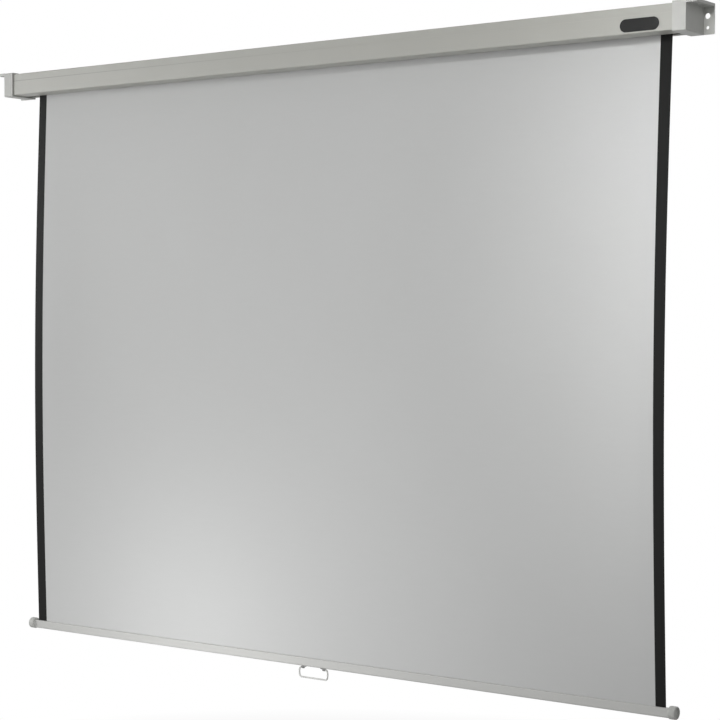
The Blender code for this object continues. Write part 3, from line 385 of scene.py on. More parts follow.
@dataclass(frozen=True)
class ProjectionCloth(ClothBack):
    """Matt white projection cloth with printed black side borders and a black back.

    The piece's UV map holds metres across from the left edge and metres down from the top, and its
    attribute called back is one on the rear face. A border's two numbers are its width at the top and at
    the bottom. The white's tone is made of the shares of cloud, slub and fleck.
    """

    name: str = "projection_cloth"
    white: Colour = (0.608, 0.613, 0.608)
    white_shades: Span = (0.985, 1.01)
    white_roughness: float = 0.88
    width: float = 2.400
    height: float = 1.837
    left_border: Span = (0.0340, 0.0385)
    right_border: Span = (0.0352, 0.0317)
    ink_edge: float = 0.0004
    ink_cells: float = 60.0
    rear_span: Span = (0.3, 0.7)
    cloud_cells: float = 2.2
    cloud_share: float = 0.4
    slub_stretch: Triple = (14.0, 90.0, 1.0)
    slub_span: Span = (0.25, 0.75)
    slub_share: float = 0.4
    fleck_share: float = 0.2
    thread: float = 0.0011
    weave_share: float = 0.6

    def material(self) -> bpy.types.Material:
        """The cloth's material."""
        recipe = Recipe(self.name)
        spread = recipe.node("ShaderNodeUVMap", {"uv_map": "spread"}).outputs["UV"]
        across, down, _ = recipe.axes(spread)
        wander = self.ink_edge * (recipe.noise(spread, self.ink_cells, detail=2.0) - 0.5)
        left_lean = (self.left_border[1] - self.left_border[0]) / self.height
        right_lean = (self.right_border[1] - self.right_border[0]) / self.height
        on_left = self.left_border[0] + left_lean * down - across
        on_right = across - self.width + self.right_border[0] + right_lean * down
        printed = (on_left.larger(on_right) + wander).ramp(-self.ink_edge, self.ink_edge)
        back = recipe.node("ShaderNodeAttribute", {"attribute_name": "back"}).outputs["Fac"]
        dark = printed.larger(Signal(back).ramp(*self.rear_span))
        cloud = recipe.noise(spread, self.cloud_cells)
        fleck = recipe.noise(spread, self.fleck_cells, detail=2.0)
        slub = recipe.noise(recipe.stretched(spread, self.slub_stretch), 1.0, detail=2.0)
        tone = cloud.ramp(*NOISE_SPAN) * self.cloud_share + slub.ramp(*self.slub_span) * self.slub_share
        tone += fleck * self.fleck_share
        white = recipe.shades(tone, self.white, self.white_shades)
        black = recipe.shades(fleck, self.black, self.black_shades)
        colour = recipe.blend(dark, white, black)
        turn = math.tau / self.thread
        weave = (across * turn).sine() * (down * turn).sine() * 0.5 + 0.5
        height = weave * self.weave_share + fleck * (1 - self.weave_share)
        recipe.bump(height, self.relief, self.relief_strength)
        sheen = (self.white_roughness - self.black_roughness) * dark
        roughness = self.white_roughness - sheen + self.cloud_sheen * (cloud - 0.5)
        return recipe.surface(colour, roughness, Specular_IOR_Level=self.gloss)


class Finishes:
    """Every finish on the product, and the materials made of them."""

    case_paint = SatinPaint("case_paint", (0.433, 0.433, 0.400), 0.50, Groove())
    bar_paint = SatinPaint("bar_paint", (0.567, 0.568, 0.551), 0.60)
    cap_plastic = MouldedPlastic("cap_plastic", (0.538, 0.542, 0.519), 0.50, gloss=0.2)
    drum_plastic = MouldedPlastic("drum_plastic", (0.530, 0.535, 0.514), 0.50, gloss=0.2)
    badge = MouldedPlastic("badge_face", (0.010, 0.0102, 0.0098), 0.40, Grain.SMOOTH, gloss=0.25)
    handle_coat = MouldedPlastic("handle_coat", (0.62, 0.62, 0.60), 0.38, Grain.SMOOTH)
    clip_plastic = MouldedPlastic("clip_plastic", (0.20, 0.20, 0.195), 0.5)
    dark_plastic = MouldedPlastic("dark_plastic", (0.05, 0.05, 0.05), 0.5)
    white_plastic = MouldedPlastic("white_plastic", (0.70, 0.70, 0.67), 0.45)
    zinc = PlainMetal("zinc_plate", (0.56, 0.57, 0.59), 0.32)
    painted_screw = MouldedPlastic("painted_screw", (0.56, 0.565, 0.54), 0.40, Grain.SMOOTH)
    spring_steel = PlainMetal("spring_steel", (0.28, 0.28, 0.30), 0.35)
    mill_tube = PlainMetal("mill_tube", (0.66, 0.67, 0.68), 0.36)
    cloth = ProjectionCloth()
    wound_cloth = ClothBack()

    def __init__(self) -> None:
        """Starts with no material made."""
        self.made: dict[str, bpy.types.Material] = {}

    def get(self, finish: Any) -> bpy.types.Material:
        """The material of one of this class's finishes, made at its first use."""
        if finish.name not in self.made:
            self.made[finish.name] = finish.material()
        return self.made[finish.name]


def add_object(name: str, data: bpy.types.ID) -> bpy.types.Object:
    """A new object in the scene."""
    made = bpy.data.objects.new(name, data)
    bpy.context.scene.collection.objects.link(made)
    return made


def sheet_faces(rows: int, columns: int, closed: bool) -> np.ndarray:
    """The quads of a grid of points, numbered row by row, with each row's ends joined if it's closed."""
    column = np.arange(columns if closed else columns - 1)
    above, here = np.meshgrid(np.arange(rows - 1) * columns, column, indexing="ij")
    beside = (here + 1) % columns
    below = above + columns
    corners = [above + here, above + beside, below + beside, below + here]
    return np.stack([corner.ravel() for corner in corners], axis=1)


def mesh_from(name: str, points: np.ndarray, faces: Sequence[Sequence[int]]) -> bpy.types.Mesh:
    """A smooth shaded mesh from points and the point numbers of each face."""
    mesh = bpy.data.meshes.new(name)
    mesh.from_pydata(points.reshape(-1, 3).tolist(), [], [list(face) for face in faces])
    mesh.update()
    mesh.shade_smooth()
    return mesh


def closed_mesh(
    name: str, points: np.ndarray, faces: Sequence[Sequence[int]], sharp: float
) -> bpy.types.Mesh:
    """A closed mesh: doubled points merged, faces outwards, edges past an angle in degrees sharp."""
    mesh = mesh_from(name, points, faces)
    work = bmesh.new()
    work.from_mesh(mesh)
    bmesh.ops.remove_doubles(work, verts=work.verts, dist=MERGE_DISTANCE)
    bmesh.ops.recalc_face_normals(work, faces=work.faces)
    work.to_mesh(mesh)
    work.free()
    mesh.set_sharp_from_angle(angle=math.radians(sharp))
    return mesh


def ring_mesh(name: str, rings: np.ndarray, sharp: float) -> bpy.types.Mesh:
    """A closed surface through rings by points by X, Y and Z.

    A first or last ring whose points all lie in one place closes the surface there.
    """
    return closed_mesh(name, rings, sheet_faces(*rings.shape[:2], True), sharp)


def rings_about(
    centre: Vector, axis: Axis, along: np.ndarray, radius: np.ndarray, turn: np.ndarray
) -> np.ndarray:
    """Rings of points about an axis.

    A point's place along the axis is the ring's own. Across the axis it lies at the centre plus the radius
    times the cosine of the turn, and plus the radius times the sine of it the other way.

    Args:
        centre: A point on the axis.
        axis: The axis's direction.
        along: Each ring's place along the axis.
        radius: Each ring's radius, either one number or one for each turn.
        turn: The turn of each point round the axis.

    Returns:
        Rings by points by X, Y and Z.
    """
    reach = radius if radius.ndim == 2 else radius[:, None]
    place = np.broadcast_to(along[:, None], (len(along), len(turn)))
    first = reach * np.cos(turn)
    second = reach * np.sin(turn)
    if axis is Axis.X:
        return np.stack([place, centre.y + first, centre.z + second], axis=-1)
    return np.stack([centre.x + first, centre.y + second, place], axis=-1)


def arc_points(centre: np.ndarray, radius: float, start: float, end: float, steps: int) -> np.ndarray:
    """Points at the centre plus the radius times the cosine and the sine of evenly spaced turns."""
    turn = np.linspace(start, end, steps + 1)
    return np.stack([centre[0] + radius * np.cos(turn), centre[1] + radius * np.sin(turn)], axis=1)


def wire_mesh(name: str, path: np.ndarray, side: np.ndarray, radius: float, sides: int) -> bpy.types.Mesh:
    """A round wire along a path, with closed ends.

    Each ring lies square to the path's direction there: its points are the path's point plus the radius
    times the cosine of the turn along one axis and the sine along the other. The first axis is the side
    vector less its part along the path, and the second is square to both.

    Args:
        name: The mesh's name.
        path: The centre line's points.
        side: A vector across the path at each point, or one for all.
        radius: The wire's radius.
        sides: The number of points in each ring.

    Returns:
        The closed mesh.
    """
    heading = np.gradient(path, axis=0)
    heading /= np.linalg.norm(heading, axis=1, keepdims=True)
    first = side - heading * np.sum(side * heading, axis=1, keepdims=True)
    first /= np.linalg.norm(first, axis=1, keepdims=True)
    second = np.cross(heading, first)
    turn = np.linspace(0.0, math.tau, sides, endpoint=False)[None, :, None]
    ring = path[:, None] + radius * (first[:, None] * np.cos(turn) + second[:, None] * np.sin(turn))
    ends = [np.broadcast_to(path[end], (1, sides, 3)) for end in (0, -1)]
    return ring_mesh(name, np.concatenate([ends[0], ring, ends[1]]), sharp=50.0)


@dataclass(frozen=True)
class CrossScrew:
    """A screw with a cross recess, as a stack of rings about its axis.

    The tip's share is of the shank's radius, those of the face and the crown are of the head's radius,
    those of the edge and the dome of its height, and the floor's of the recess.
    """

    head_radius: float
    head_height: float
    shank_radius: float
    countersunk: bool = True
    recess_reach: float = 0.0019
    recess_half_width: float = 0.00042
    recess_depth: float = 0.0010
    tip_share: float = 0.3
    edge_share: float = 0.1
    face_share: float = 0.985
    crown_share: float = 0.62
    dome_share: float = 0.8
    floor_share: float = 0.55
    points: int = 72
    dome_steps: int = 6

    def mesh(self, name: str, centre: Vector, axis: Axis, face: float, tip: float) -> bpy.types.Mesh:
        """The screw's closed mesh.

        Its rings run from the tip up the shank, over the head and down into the recess. The recess's radius
        is its half width over the smaller of the sine's and the cosine's size, up to its reach, which draws
        a cross, and its floor is a smaller cross.

        Args:
            name: The mesh's name.
            centre: A point on its axis.
            axis: The axis's direction.
            face: The place along the axis of the head's flat top.
            tip: The place of the shank's tip.

        Returns:
            The mesh.
        """
        inward = math.copysign(1.0, tip - face)
        under = face + inward * self.head_height
        turn = np.linspace(0.0, math.tau, self.points, endpoint=False)
        narrow = np.minimum(np.abs(np.sin(turn)), np.abs(np.cos(turn)))
        cross = np.minimum(self.recess_reach, self.recess_half_width / np.maximum(narrow, TINY))
        whole = np.ones(self.points)
        point = tip - inward * self.shank_radius
        shank = self.shank_radius * whole
        head = self.head_radius * whole
        rings = [(tip, 0 * whole), (tip, self.tip_share * shank), (point, shank), (under, shank)]
        if self.countersunk:
            edge = face + inward * self.edge_share * self.head_height
            rings += [(edge, head), (face, self.face_share * head)]
        else:
            rings.append((under, head))
            for bend in np.linspace(0.0, math.pi / 2, self.dome_steps):
                place = face + inward * self.head_height * (1 - math.sin(bend)) * self.dome_share
                shrink = self.crown_share + (1 - self.crown_share) * math.cos(bend)
                rings.append((place, shrink * head))
        deep = face + inward * self.recess_depth
        rings += [(face, cross), (deep, self.floor_share * cross), (deep, 0 * whole)]
        along = np.array([place for place, _ in rings])
        radius = np.stack([reach for _, reach in rings])
        return ring_mesh(name, rings_about(centre, axis, along, radius, turn), sharp=30.0)


class Workshop:
    """Places finished pieces: each gets its finish, its body and the node that it stands for."""

    def __init__(self, frame: dict[str, Any]) -> None:
        self.nodes = frame["nodes"]
        self.joints = frame["joints"]
        self.finishes = Finishes()
        bodies = frame["record"]["behaviour"]["bodies"]
        self.body_of = {node: body for body, nodes in bodies.items() for node in nodes}
        self.slot_of = {item["node"]: item["material_slot"] for item in frame["record"]["subparts"]}

    def joint(self, name: str) -> dict[str, Any]:
        """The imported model's joint of this name."""
        return next(item for item in self.joints if item["name"] == name)

    def place(self, name: str, mesh: bpy.types.Mesh, node: str, finish: Any) -> bpy.types.Object:
        """Puts a mesh in the scene with its finish, as the piece that stands for a node."""
        piece = add_object(name, mesh)
        mesh.materials.append(self.finishes.get(finish))
        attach(piece, self.body_of[node])
        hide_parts(node)
        LOG.info("%s stands for %s on %s", name, node, self.body_of[node])
        return piece

    def refine(
        self, node: str, name: str, finish: Any, sharp: float = 32.0, rounding: float = 0.0
    ) -> None:
        """Replaces a node by a merged copy of its own mesh, with even shading and soft edges.

        Args:
            node: The node whose shape is kept.
            name: The new piece's name.
            finish: Its finish.
            sharp: The angle in degrees past which an edge stays sharp.
            rounding: The width of a small bevel on the sharp edges, or zero for none.
        """
        mesh = self.nodes[node].data.copy()
        mesh.materials.clear()
        work = bmesh.new()
        work.from_mesh(mesh)
        bmesh.ops.remove_doubles(work, verts=work.verts, dist=2 * MERGE_DISTANCE)
        bmesh.ops.dissolve_limit(work, angle_limit=FLAT_ANGLE, verts=work.verts, edges=work.edges)
        work.to_mesh(mesh)
        work.free()
        mesh.shade_smooth()
        mesh.set_sharp_from_angle(angle=math.radians(sharp))
        piece = self.place(name, mesh, node, finish)
        if rounding > 0:
            bevel = piece.modifiers.new("soft_edges", "BEVEL")
            bevel.width = rounding
            bevel.segments = 2
            bevel.limit_method = "ANGLE"
            bevel.angle_limit = math.radians(sharp)
            bevel.harden_normals = True
        weighted = piece.modifiers.new("even_faces", "WEIGHTED_NORMAL")
        weighted.keep_sharp = True
        weighted.weight = 80


@dataclass
class CaseAssembly:
    """The extruded case, its two moulded end caps with their screws, and the bare badge."""

    shop: Workshop
    badge_rim: float = 0.0007
    badge_steps: int = 28
    rim_steps: int = 6
    soft_edge: float = 0.0004
    screw: CrossScrew = CrossScrew(head_radius=0.0032, head_height=0.0018, shank_radius=0.0014)

    def build(self) -> None:
        """Builds and dresses the fixed outside of the product."""
        finishes = self.shop.finishes
        self.shop.refine("case_shell", "case_extrusion", finishes.case_paint, sharp=30.0)
        for side in ("left", "right"):
            cap = "end_cap_" + side
            moulding = "cap_moulding_" + side
            self.shop.refine(cap, moulding, finishes.cap_plastic, sharp=40.0, rounding=self.soft_edge)
            for which in ("upper", "corner", "rear"):
                self.cap_screw(side, which)
        self.shop.place("bare_badge", self.badge_mesh(), "badge_plate", finishes.badge)

    def cap_screw(self, side: str, which: str) -> None:
        """One countersunk screw, flush with an end cap's face, in one of the case's screw ports."""
        node = f"cap_screw_{side}_{which}"
        low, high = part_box(node)
        face, tip = (low.x, high.x) if side == "left" else (high.x, low.x)
        mesh = self.screw.mesh("cross_" + node, (low + high) / 2, Axis.X, face, tip)
        self.shop.place("cross_" + node, mesh, node, self.shop.finishes.painted_screw)

    def badge_mesh(self) -> bpy.types.Mesh:
        """The pill-shaped plate.

        Rings of one outline, two half circles joined by straight sides, run from the back to the front. The
        front rings draw in along a quarter circle for a soft rim, and the last shrinks to the middle line.
        """
        low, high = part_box("badge_plate")
        middle = (low + high) / 2
        radius = (high.z - low.z) / 2
        reach = (high.x - low.x) / 2 - radius
        half = np.linspace(-math.pi / 2, math.pi / 2, self.badge_steps)
        turn = np.concatenate([half, half + math.pi])
        shift = np.where(np.arange(len(turn)) < self.badge_steps, reach, -reach)
        bend = np.linspace(0.0, math.pi / 2, self.rim_steps)
        draw_in = np.concatenate([[radius], [0.0], self.badge_rim * (1 - np.cos(bend)), [radius]])
        place = np.concatenate([[high.y, high.y], low.y + self.badge_rim * (1 - np.sin(bend)), [low.y]])
        ring = radius - draw_in
        points = np.empty((len(ring), len(turn), 3))
        points[..., 0] = middle.x + shift + ring[:, None] * np.cos(turn)
        points[..., 1] = place[:, None]
        points[..., 2] = middle.z + ring[:, None] * np.sin(turn)
        return ring_mesh("bare_badge", points, sharp=35.0)


@dataclass
class RollerWorks:
    """Everything that turns or holds the roller inside the case."""

    shop: Workshop
    coil_turns: int = 24
    steps_per_turn: int = 28
    spring_wire: float = 0.0022
    tail: float = 0.0033
    tail_bend: float = 0.0020
    bend_steps: int = 6
    wire_sides: int = 12

    def build(self) -> None:
        """Dresses the roller, the ratchet lock and the spring."""
        finishes = self.shop.finishes
        refine = self.shop.refine
        refine("roller_tube", "tube", finishes.mill_tube)
        refine("fabric_wraps", "wound_cloth", finishes.wound_cloth)
        refine("spring_end_plug", "pawl_carrier", finishes.dark_plastic)
        refine("idle_end_plug", "idle_carrier", finishes.dark_plastic)
        refine("spring_collar", "fixed_collar", finishes.dark_plastic)
        refine("spring_anchor", "tube_anchor", finishes.dark_plastic)
        refine("idle_bush", "pin_bush", finishes.white_plastic)
        refine("idle_pin", "turning_pin", finishes.zinc)
        refine("spear_shaft", "spear", finishes.zinc)
        refine("ratchet_wheel", "toothed_wheel", finishes.zinc)
        for letter in ("a", "b"):
            refine("pawl_" + letter, "swinging_pawl_" + letter, finishes.zinc)
            refine("pawl_pin_" + letter, "headed_pin_" + letter, finishes.zinc)
        self.shop.place("wound_spring", self.spring_mesh(), "torsion_spring", finishes.spring_steel)

    def spring_mesh(self) -> bpy.types.Mesh:
        """The torsion spring.

        The wire's centre line is a straight tail along the axis, a bend into the coil, the coil at an even
        pitch, a bend and the other tail. In a bend the place along the axis goes as one minus the sine of a
        quarter turn and the turn round the axis as one minus its cosine.
        """
        low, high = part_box("torsion_spring")
        centre = (low + high) / 2
        reach = (high.z - low.z - self.spring_wire) / 2
        start = low.x + self.tail + self.tail_bend
        end = high.x - self.tail - self.tail_bend
        bend_turn = self.tail_bend / reach
        quarter = np.linspace(0.0, math.pi / 2, self.bend_steps + 1)
        last_turn = math.tau * self.coil_turns
        into = start - self.tail_bend * (1 - np.sin(quarter))
        into_turn = bend_turn * (1 - np.cos(quarter))
        share = np.linspace(0.0, 1.0, self.coil_turns * self.steps_per_turn + 1)[1:-1]
        out = end + self.tail_bend * (1 - np.sin(quarter[::-1]))
        along = np.concatenate([[low.x], into, start + share * (end - start), out, [high.x]])
        coil_turn = bend_turn + share * (last_turn - 2 * bend_turn)
        turn = np.concatenate([[0.0], into_turn, coil_turn, last_turn - into_turn[::-1], [last_turn]])
        outward = np.stack([np.zeros_like(turn), np.cos(turn), np.sin(turn)], axis=1)
        axis = np.array([0.0, centre.y, centre.z])
        path = axis + reach * outward + along[:, None] * np.array([1.0, 0.0, 0.0])
        return wire_mesh("wound_spring", path, outward, self.spring_wire / 2, self.wire_sides)


@dataclass
class HungCloth:
    """The projection cloth, from the roller down to the bar.

    Its side edges curl towards the room where nothing holds them: the reach of the curl is largest half
    way down, as the sine of the way down from the case to the bar, and fades in from the edge along a
    bell curve.
    """

    shop: Workshop
    left_curl: float = 0.020
    right_curl: float = 0.029
    curl_spread: float = 0.18
    right_lean: float = 0.0035
    lip_height: float = -0.036
    wave_reach: float = 0.0008
    wave_rate: float = 9.0
    wave_start: float = 0.8
    across_steps: int = 180
    down_steps: int = 120
    squash_anchor: float = 0.033

    def build(self) -> None:
        low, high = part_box("screen_fabric")
        mesh = self.cloth_mesh(low, high)
        cloth = self.shop.place("hung_cloth", mesh, "screen_fabric", self.shop.finishes.cloth)
        travel = self.shop.joint("screen_lift")["range_m"][1]
        keep = (low.z + travel - self.squash_anchor) / (low.z - self.squash_anchor)
        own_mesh(cloth)

    def cloth_mesh(self, low: Vector, high: Vector) -> bpy.types.Mesh:
        """The cloth's front and back faces, closed round their rim.

        The width is stepped more finely near the edges, as half of one minus the cosine of the share
        across. The front face lies at the plane less the curl, and the back face one thickness behind. The
        right edge leans out a little at the top, in step with the share across. The flat sheet's lowest and
        highest corners give its size.
        """
        width, thickness, drop = (far - near for near, far in zip(low, high))
        share = (1 - np.cos(np.linspace(0, math.pi, self.across_steps))) / 2
        across = share[None, :] * width
        down = np.linspace(0, drop, self.down_steps)[:, None]
        height = high.z - down
        hang = np.clip((self.lip_height - height) / (self.lip_height - low.z), 0, 1)
        bow = np.sin(math.pi * hang)
        left = np.exp(-((across / self.curl_spread) ** 2))
        right = np.exp(-(((width - across) / self.curl_spread) ** 2))
        wave = self.wave_reach * np.sin(across * self.wave_rate + self.wave_start) * bow**2
        forward = bow * (self.left_curl * left + self.right_curl * right) + wave
        front = np.empty((self.down_steps, self.across_steps, 3))
        front[..., 0] = low.x + across + self.right_lean * share[None, :] * (1 - hang)
        front[..., 1] = low.y - forward
        front[..., 2] = height
        back = front.copy()
        back[..., 1] += thickness
        points = np.concatenate([front.reshape(-1, 3), back.reshape(-1, 3)])
        faces = sheet_faces(self.down_steps, self.across_steps, False)
        count = self.down_steps * self.across_steps
        number = np.arange(count).reshape(self.down_steps, self.across_steps)
        rim = np.concatenate([number[0, :-1], number[:-1, -1], number[-1, :0:-1], number[:0:-1, 0]])
        ahead = np.roll(rim, -1)
        edge = np.stack([rim, rim + count, ahead + count, ahead], axis=1)
        faces = np.concatenate([faces, faces[:, ::-1] + count, edge])
        mesh = closed_mesh("hung_cloth", points, faces, sharp=40.0)
        spots = np.stack(np.broadcast_arrays(across, down), axis=-1).reshape(-1, 2)
        spots = np.concatenate([spots, spots])
        corner = np.empty(len(mesh.loops), np.int32)
        mesh.loops.foreach_get("vertex_index", corner)
        spread = mesh.uv_layers.new(name="spread")
        spread.data.foreach_set("uv", spots[corner].astype(np.float32).ravel())
        rear = mesh.attributes.new("back", "FLOAT", "POINT")
        rear.data.foreach_set("value", np.repeat([0.0, 1.0], count).astype(np.float32))
        return mesh


@dataclass
class WeightBar:
    """The bottom bar with its keder and its two round caps."""

    shop: Workshop
    cap_rounding: float = 0.003
    dish_depth: float = 0.0050
    dish_rim: float = 0.0008
    dish_draft: float = 0.0006
    pocket_depth: float = 0.012
    pocket_gap: float = 0.0003
    pocket_corner: float = 0.004
    cap_points: int = 96
    rim_steps: int = 7

    def build(self) -> None:
        """Builds and dresses the bar."""
        finishes = self.shop.finishes
        self.shop.refine("bottom_bar", "bar_extrusion", finishes.bar_paint)
        self.shop.refine("fabric_keder", "keder_rod", finishes.white_plastic)
        for side in ("left", "right"):
            mesh = self.drum_mesh(side)
            self.shop.place("bar_drum_" + side, mesh, "bar_cap_" + side, finishes.drum_plastic)

    def drum_mesh(self, side: str) -> bpy.types.Mesh:
        """A round cap with quarter circle rims, a shallow dish in its outer face and a pocket for the bar.

        The rings of the outside are circles about the cap's own axis. Those of the pocket are rounded
        rectangles about the bar's axis, which lies a little lower: along each turn the distance to one is
        the smaller of its half width over the cosine and its half height over the sine, and within a
        corner's span it is the far distance to the corner's circle.
        """
        low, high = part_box("bar_cap_" + side)
        bar_low, bar_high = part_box("bottom_bar")
        centre = (low + high) / 2
        bar_centre = (bar_low + bar_high) / 2
        radius = (high.z - low.z) / 2
        rounding = self.cap_rounding
        outward = -1.0 if side == "left" else 1.0
        near = low.x if outward > 0 else high.x
        length = high.x - low.x
        turn = np.linspace(0.0, math.tau, self.cap_points, endpoint=False)
        bend = np.linspace(0.0, math.pi / 2, self.rim_steps)
        rim = radius - rounding * (1 - np.cos(bend))
        inner = np.stack([rounding * (1 - np.sin(bend)), rim], axis=1)[::-1]
        outer = np.stack([length - rounding * (1 - np.sin(bend)), rim], axis=1)
        dish_radius = radius - rounding - self.dish_rim
        floor = length - self.dish_depth
        dish = np.array([[length, dish_radius], [floor, dish_radius - self.dish_draft], [floor, 0.0]])
        profile = np.concatenate([inner, outer, dish])
        outside = rings_about(centre, Axis.X, near + outward * profile[:, 0], profile[:, 1], turn)
        half = (bar_high - bar_low) / 2
        reach = self.pocket_reach(half.y + self.pocket_gap, half.z + self.pocket_gap, turn)
        depth = near + outward * np.array([self.pocket_depth, self.pocket_depth, 0.0])
        pocket = rings_about(bar_centre, Axis.X, depth, np.stack([0 * reach, reach, reach]), turn)
        return ring_mesh("bar_drum_" + side, np.concatenate([pocket, outside]), sharp=30.0)

    def pocket_reach(self, half_width: float, half_height: float, turn: np.ndarray) -> np.ndarray:
        """The distance from a rounded rectangle's middle to its edge, at turns from its width's direction."""
        across = np.abs(np.cos(turn))
        up = np.abs(np.sin(turn))
        straight = np.minimum(half_width / np.maximum(across, TINY), half_height / np.maximum(up, TINY))
        corner_across = half_width - self.pocket_corner
        corner_up = half_height - self.pocket_corner
        facing = corner_across * across + corner_up * up
        within = facing**2 - corner_across**2 - corner_up**2 + self.pocket_corner**2
        round_reach = facing + np.sqrt(np.maximum(within, 0.0))
        in_corner = (straight * across > corner_across) & (straight * up > corner_up)
        return np.where(in_corner, round_reach, straight)


@dataclass
class PullHandle:
    """The wire bail, the two clips that carry it and their screws."""

    shop: Workshop
    wire: float = 0.005
    top_bend: float = 0.0065
    grip_bend: float = 0.008
    lean: float = math.radians(15)
    end_reach: float = 0.03675
    bend_steps: int = 14
    wire_sides: int = 24
    soft_edge: float = 0.0003
    screw: CrossScrew = CrossScrew(
        head_radius=0.0026,
        head_height=0.0014,
        shank_radius=0.0013,
        countersunk=False,
        recess_reach=0.0015,
        recess_half_width=0.00035,
        recess_depth=0.0008,
    )

    def build(self) -> None:
        """Builds and dresses the handle."""
        finishes = self.shop.finishes
        for side in ("left", "right"):
            clip = "handle_clip_" + side
            piece = "bail_clip_" + side
            self.shop.refine(clip, piece, finishes.clip_plastic, sharp=40.0, rounding=self.soft_edge)
            node = "clip_screw_" + side
            low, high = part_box(node)
            mesh = self.screw.mesh("cross_" + node, (low + high) / 2, Axis.Z, low.z, high.z)
            self.shop.place("cross_" + node, mesh, node, finishes.zinc)
        self.shop.place("wire_bail", self.bail_mesh(), "handle_bail", finishes.handle_coat)

    def bail_mesh(self) -> bpy.types.Mesh:
        """The bail's wire.

        Seen from the front, its centre line starts along the pivot and is one half and its mirror image.
        Each half is three arcs that meet with no corner: a small bend outwards and down, a wide bow down
        the side that leans out and back in by the same angle, and a bend into the straight grip. The bow's
        radius is the one at which the three heights add up to the bail's depth.
        """
        low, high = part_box("handle_bail")
        pivot = Vector(self.shop.joint("handle_swing")["pos_m"])
        depth = pivot.z - low.z - self.wire / 2
        widest = (high.x - low.x - self.wire) / 2
        rise = math.sin(self.lean)
        bow = (depth - (self.top_bend + self.grip_bend) * (1 - rise)) / (2 * rise)
        bow_centre = np.array([widest - bow, -self.top_bend * (1 - rise) - bow * rise])
        outward = np.array([math.cos(self.lean), rise])
        top_centre = bow_centre + (bow - self.top_bend) * outward
        grip_centre = bow_centre + (bow - self.grip_bend) * outward * np.array([1.0, -1.0])
        square = math.pi / 2
        half = np.concatenate(
            [
                [[self.end_reach, 0.0]],
                arc_points(top_centre, self.top_bend, square, self.lean, self.bend_steps),
                arc_points(bow_centre, bow, self.lean, -self.lean, self.bend_steps)[1:],
                arc_points(grip_centre, self.grip_bend, -self.lean, -square, self.bend_steps)[1:],
            ]
        )
        flat = np.concatenate([half, half[::-1] * np.array([-1.0, 1.0])])
        path = np.stack([pivot.x + flat[:, 0], np.full(len(flat), pivot.y), pivot.z + flat[:, 1]], axis=1)
        return wire_mesh("wire_bail", path, np.array([0.0, 1.0, 0.0]), self.wire / 2, self.wire_sides)


@dataclass(frozen=True)
class PhotoCamera:
    """The camera of the photograph, fitted to the edges of the object in it."""

    place: Triple = (3.5614, -4.5547, -0.8072)
    yaw: float = math.radians(36.794)
    pitch: float = math.radians(-1.105)
    roll: float = math.radians(0.280)
    lens_mm: float = 94.41
    sensor_mm: float = 36.0

    def build(self) -> None:
        """Adds the camera and makes it the scene's own."""
        cosine, sine = math.cos(self.yaw), math.sin(self.yaw)
        flat = math.cos(self.pitch)
        forward = Vector((-sine * flat, cosine * flat, math.sin(self.pitch)))
        level = Vector((cosine, sine, 0.0))
        upright = level.cross(forward)
        right = math.cos(self.roll) * level + math.sin(self.roll) * upright
        up = math.cos(self.roll) * upright - math.sin(self.roll) * level
        data = bpy.data.cameras.new("photo_camera")
        data.lens = self.lens_mm
        data.sensor_width = self.sensor_mm
        camera = add_object("photo_camera", data)
        turn = Matrix((right, up, -forward)).transposed().to_4x4()
        camera.matrix_world = Matrix.Translation(self.place) @ turn
        bpy.context.scene.camera = camera


@dataclass(frozen=True)
class Softbox:
    """A square lamp that faces a point, and whose beam may be held narrow."""

    name: str
    place: Triple
    power: float
    size: float
    aim: Triple
    beam: float = 180.0

    def build(self) -> None:
        """Adds the lamp."""
        data = bpy.data.lights.new(self.name, "AREA")
        data.energy = self.power
        data.size = self.size
        data.spread = math.radians(self.beam)
        lamp = add_object(self.name, data)
        lamp.location = self.place
        heading = Vector(self.aim) - Vector(self.place)
        lamp.rotation_euler = heading.to_track_quat("-Z", "Y").to_euler()
        lamp.visible_camera = False


def ray_share(tree: bpy.types.NodeTree, *kinds: str) -> Signal:
    """One for a light ray of any of the kinds, and zero for every other."""
    path = tree.nodes.new("ShaderNodeLightPath")
    share, *others = [Signal(path.outputs[f"Is {kind} Ray"]) for kind in kinds]
    for other in others:
        share = share.larger(other)
    return share


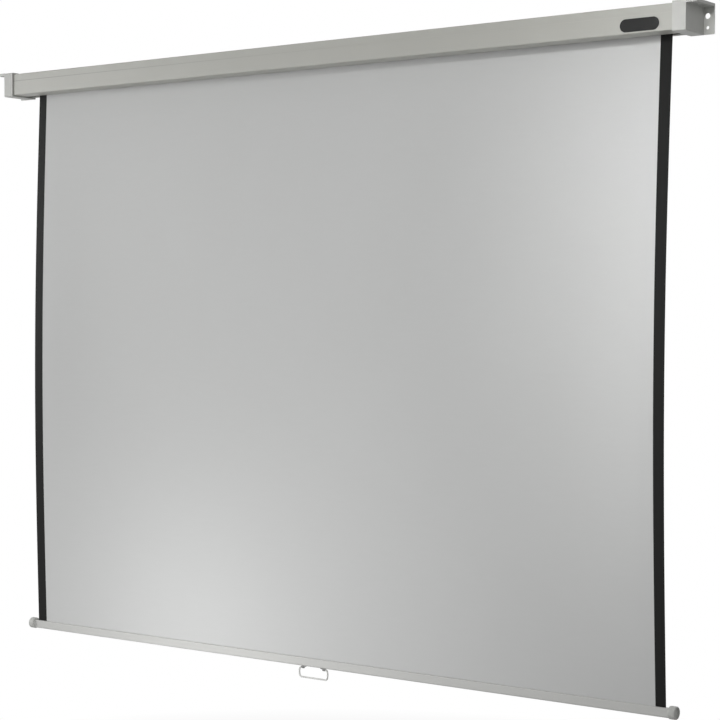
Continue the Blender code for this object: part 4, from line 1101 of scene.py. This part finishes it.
@dataclass
class Studio:
    """The plain studio: a pale floor, soft lamps and a white surround."""

    floor_height: float = -2.5
    floor_reach: float = 14.0
    fade_start: float = 0.9
    fade_end: float = 2.5
    near_glow: float = 0.5
    floor_colour: Colour = (0.60, 0.60, 0.60)
    surround: float = 0.388
    lamps: tuple[Softbox, ...] = (
        Softbox("left_lamp", (-4.00, -2.00, -0.40), 62.6, 1.2, (0.40, 0.00, -0.60)),
        Softbox("left_beam", (-3.50, -1.60, -0.20), 2.39, 0.8, (1.20, 0.00, -0.45), 40.0),
        Softbox("low_lamp", (-0.50, -0.80, -1.86), 2.65, 0.4, (-0.50, 0.00, -1.86)),
        Softbox("low_middle_lamp", (0.30, -1.30, -1.75), 2.94, 0.5, (0.10, 0.00, -1.40)),
        Softbox("front_lamp", (-0.60, -4.00, -1.90), 3.13, 1.4, (-0.20, 0.00, -1.00)),
        Softbox("right_high_lamp", (1.40, -1.90, 0.42), 10.7, 0.12, (1.40, 0.00, 0.42)),
        Softbox("right_pool", (0.90, -2.20, 0.40), 1.44, 0.4, (1.60, 0.00, -0.60), 50.0),
        Softbox("right_beam", (1.00, -3.00, 0.20), 0.58, 0.4, (1.55, 0.00, -0.75), 40.0),
    )

    def build(self) -> None:
        """Builds the floor, the lamps and the surround."""
        bpy.context.scene.view_settings.view_transform = "Standard"
        self.floor()
        for lamp in self.lamps:
            lamp.build()
        self.sky()

    def floor(self) -> None:
        """A pale floor that keeps the shadow near the object and fades to white away from it."""
        reach = self.floor_reach
        signs = ((-1, -1), (1, -1), (1, 1), (-1, 1))
        points = np.array([(x * reach, y * reach, self.floor_height) for x, y in signs])
        mesh = mesh_from("floor", points, [(0, 1, 2, 3)])
        floor = add_object("floor", mesh)
        recipe = Recipe("pale_floor")
        seen = ray_share(recipe.tree, "Camera", "Glossy")
        across, along, _ = recipe.axes(recipe.place())
        away = (across * across + along * along) ** 0.5
        share = seen * (self.near_glow + (1 - self.near_glow) * away.ramp(self.fade_start, self.fade_end))
        white = recipe.node("ShaderNodeEmission", Color=(1.0, 1.0, 1.0), Strength=1.0)
        matt = recipe.node("ShaderNodeBsdfDiffuse", Color=self.floor_colour)
        mixer = recipe.node("ShaderNodeMixShader")
        for given, slot in zip((share.socket, matt.outputs[0], white.outputs[0]), mixer.inputs):
            recipe.tree.links.new(given, slot)
        recipe.feed(recipe.tree.nodes["Material Output"], "Surface", mixer.outputs[0])
        mesh.materials.append(recipe.material)

    def sky(self) -> None:
        """A grey surround that the camera, gloss and glass see as white."""
        world = bpy.data.worlds.new("surround")
        world.use_nodes = True
        bpy.context.scene.world = world
        tree = world.node_tree
        background = tree.nodes["Background"]
        seen = ray_share(tree, "Camera", "Glossy", "Transmission")
        strength = self.surround + (1.0 - self.surround) * seen
        background.inputs["Color"].default_value = (1.0, 1.0, 1.0, 1.0)
        tree.links.new(strength.socket, background.inputs["Strength"])


def corners(bounds: Any) -> list[list[float]]:
    """A pair of corners as plain lists of numbers."""
    return [[float(value) for value in corner] for corner in bounds]


def main() -> None:
    """Loads the solids and builds every sub-assembly."""
    logging.basicConfig(level=logging.INFO, format="%(message)s")
    for leftover in list(bpy.data.objects):
        bpy.data.objects.remove(leftover)
    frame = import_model()
    shop = Workshop(frame)
    PhotoCamera().build()
    Studio().build()
    CaseAssembly(shop).build()
    RollerWorks(shop).build()
    HungCloth(shop).build()
    WeightBar(shop).build()
    PullHandle(shop).build()


if __name__ == "__main__":
    main()
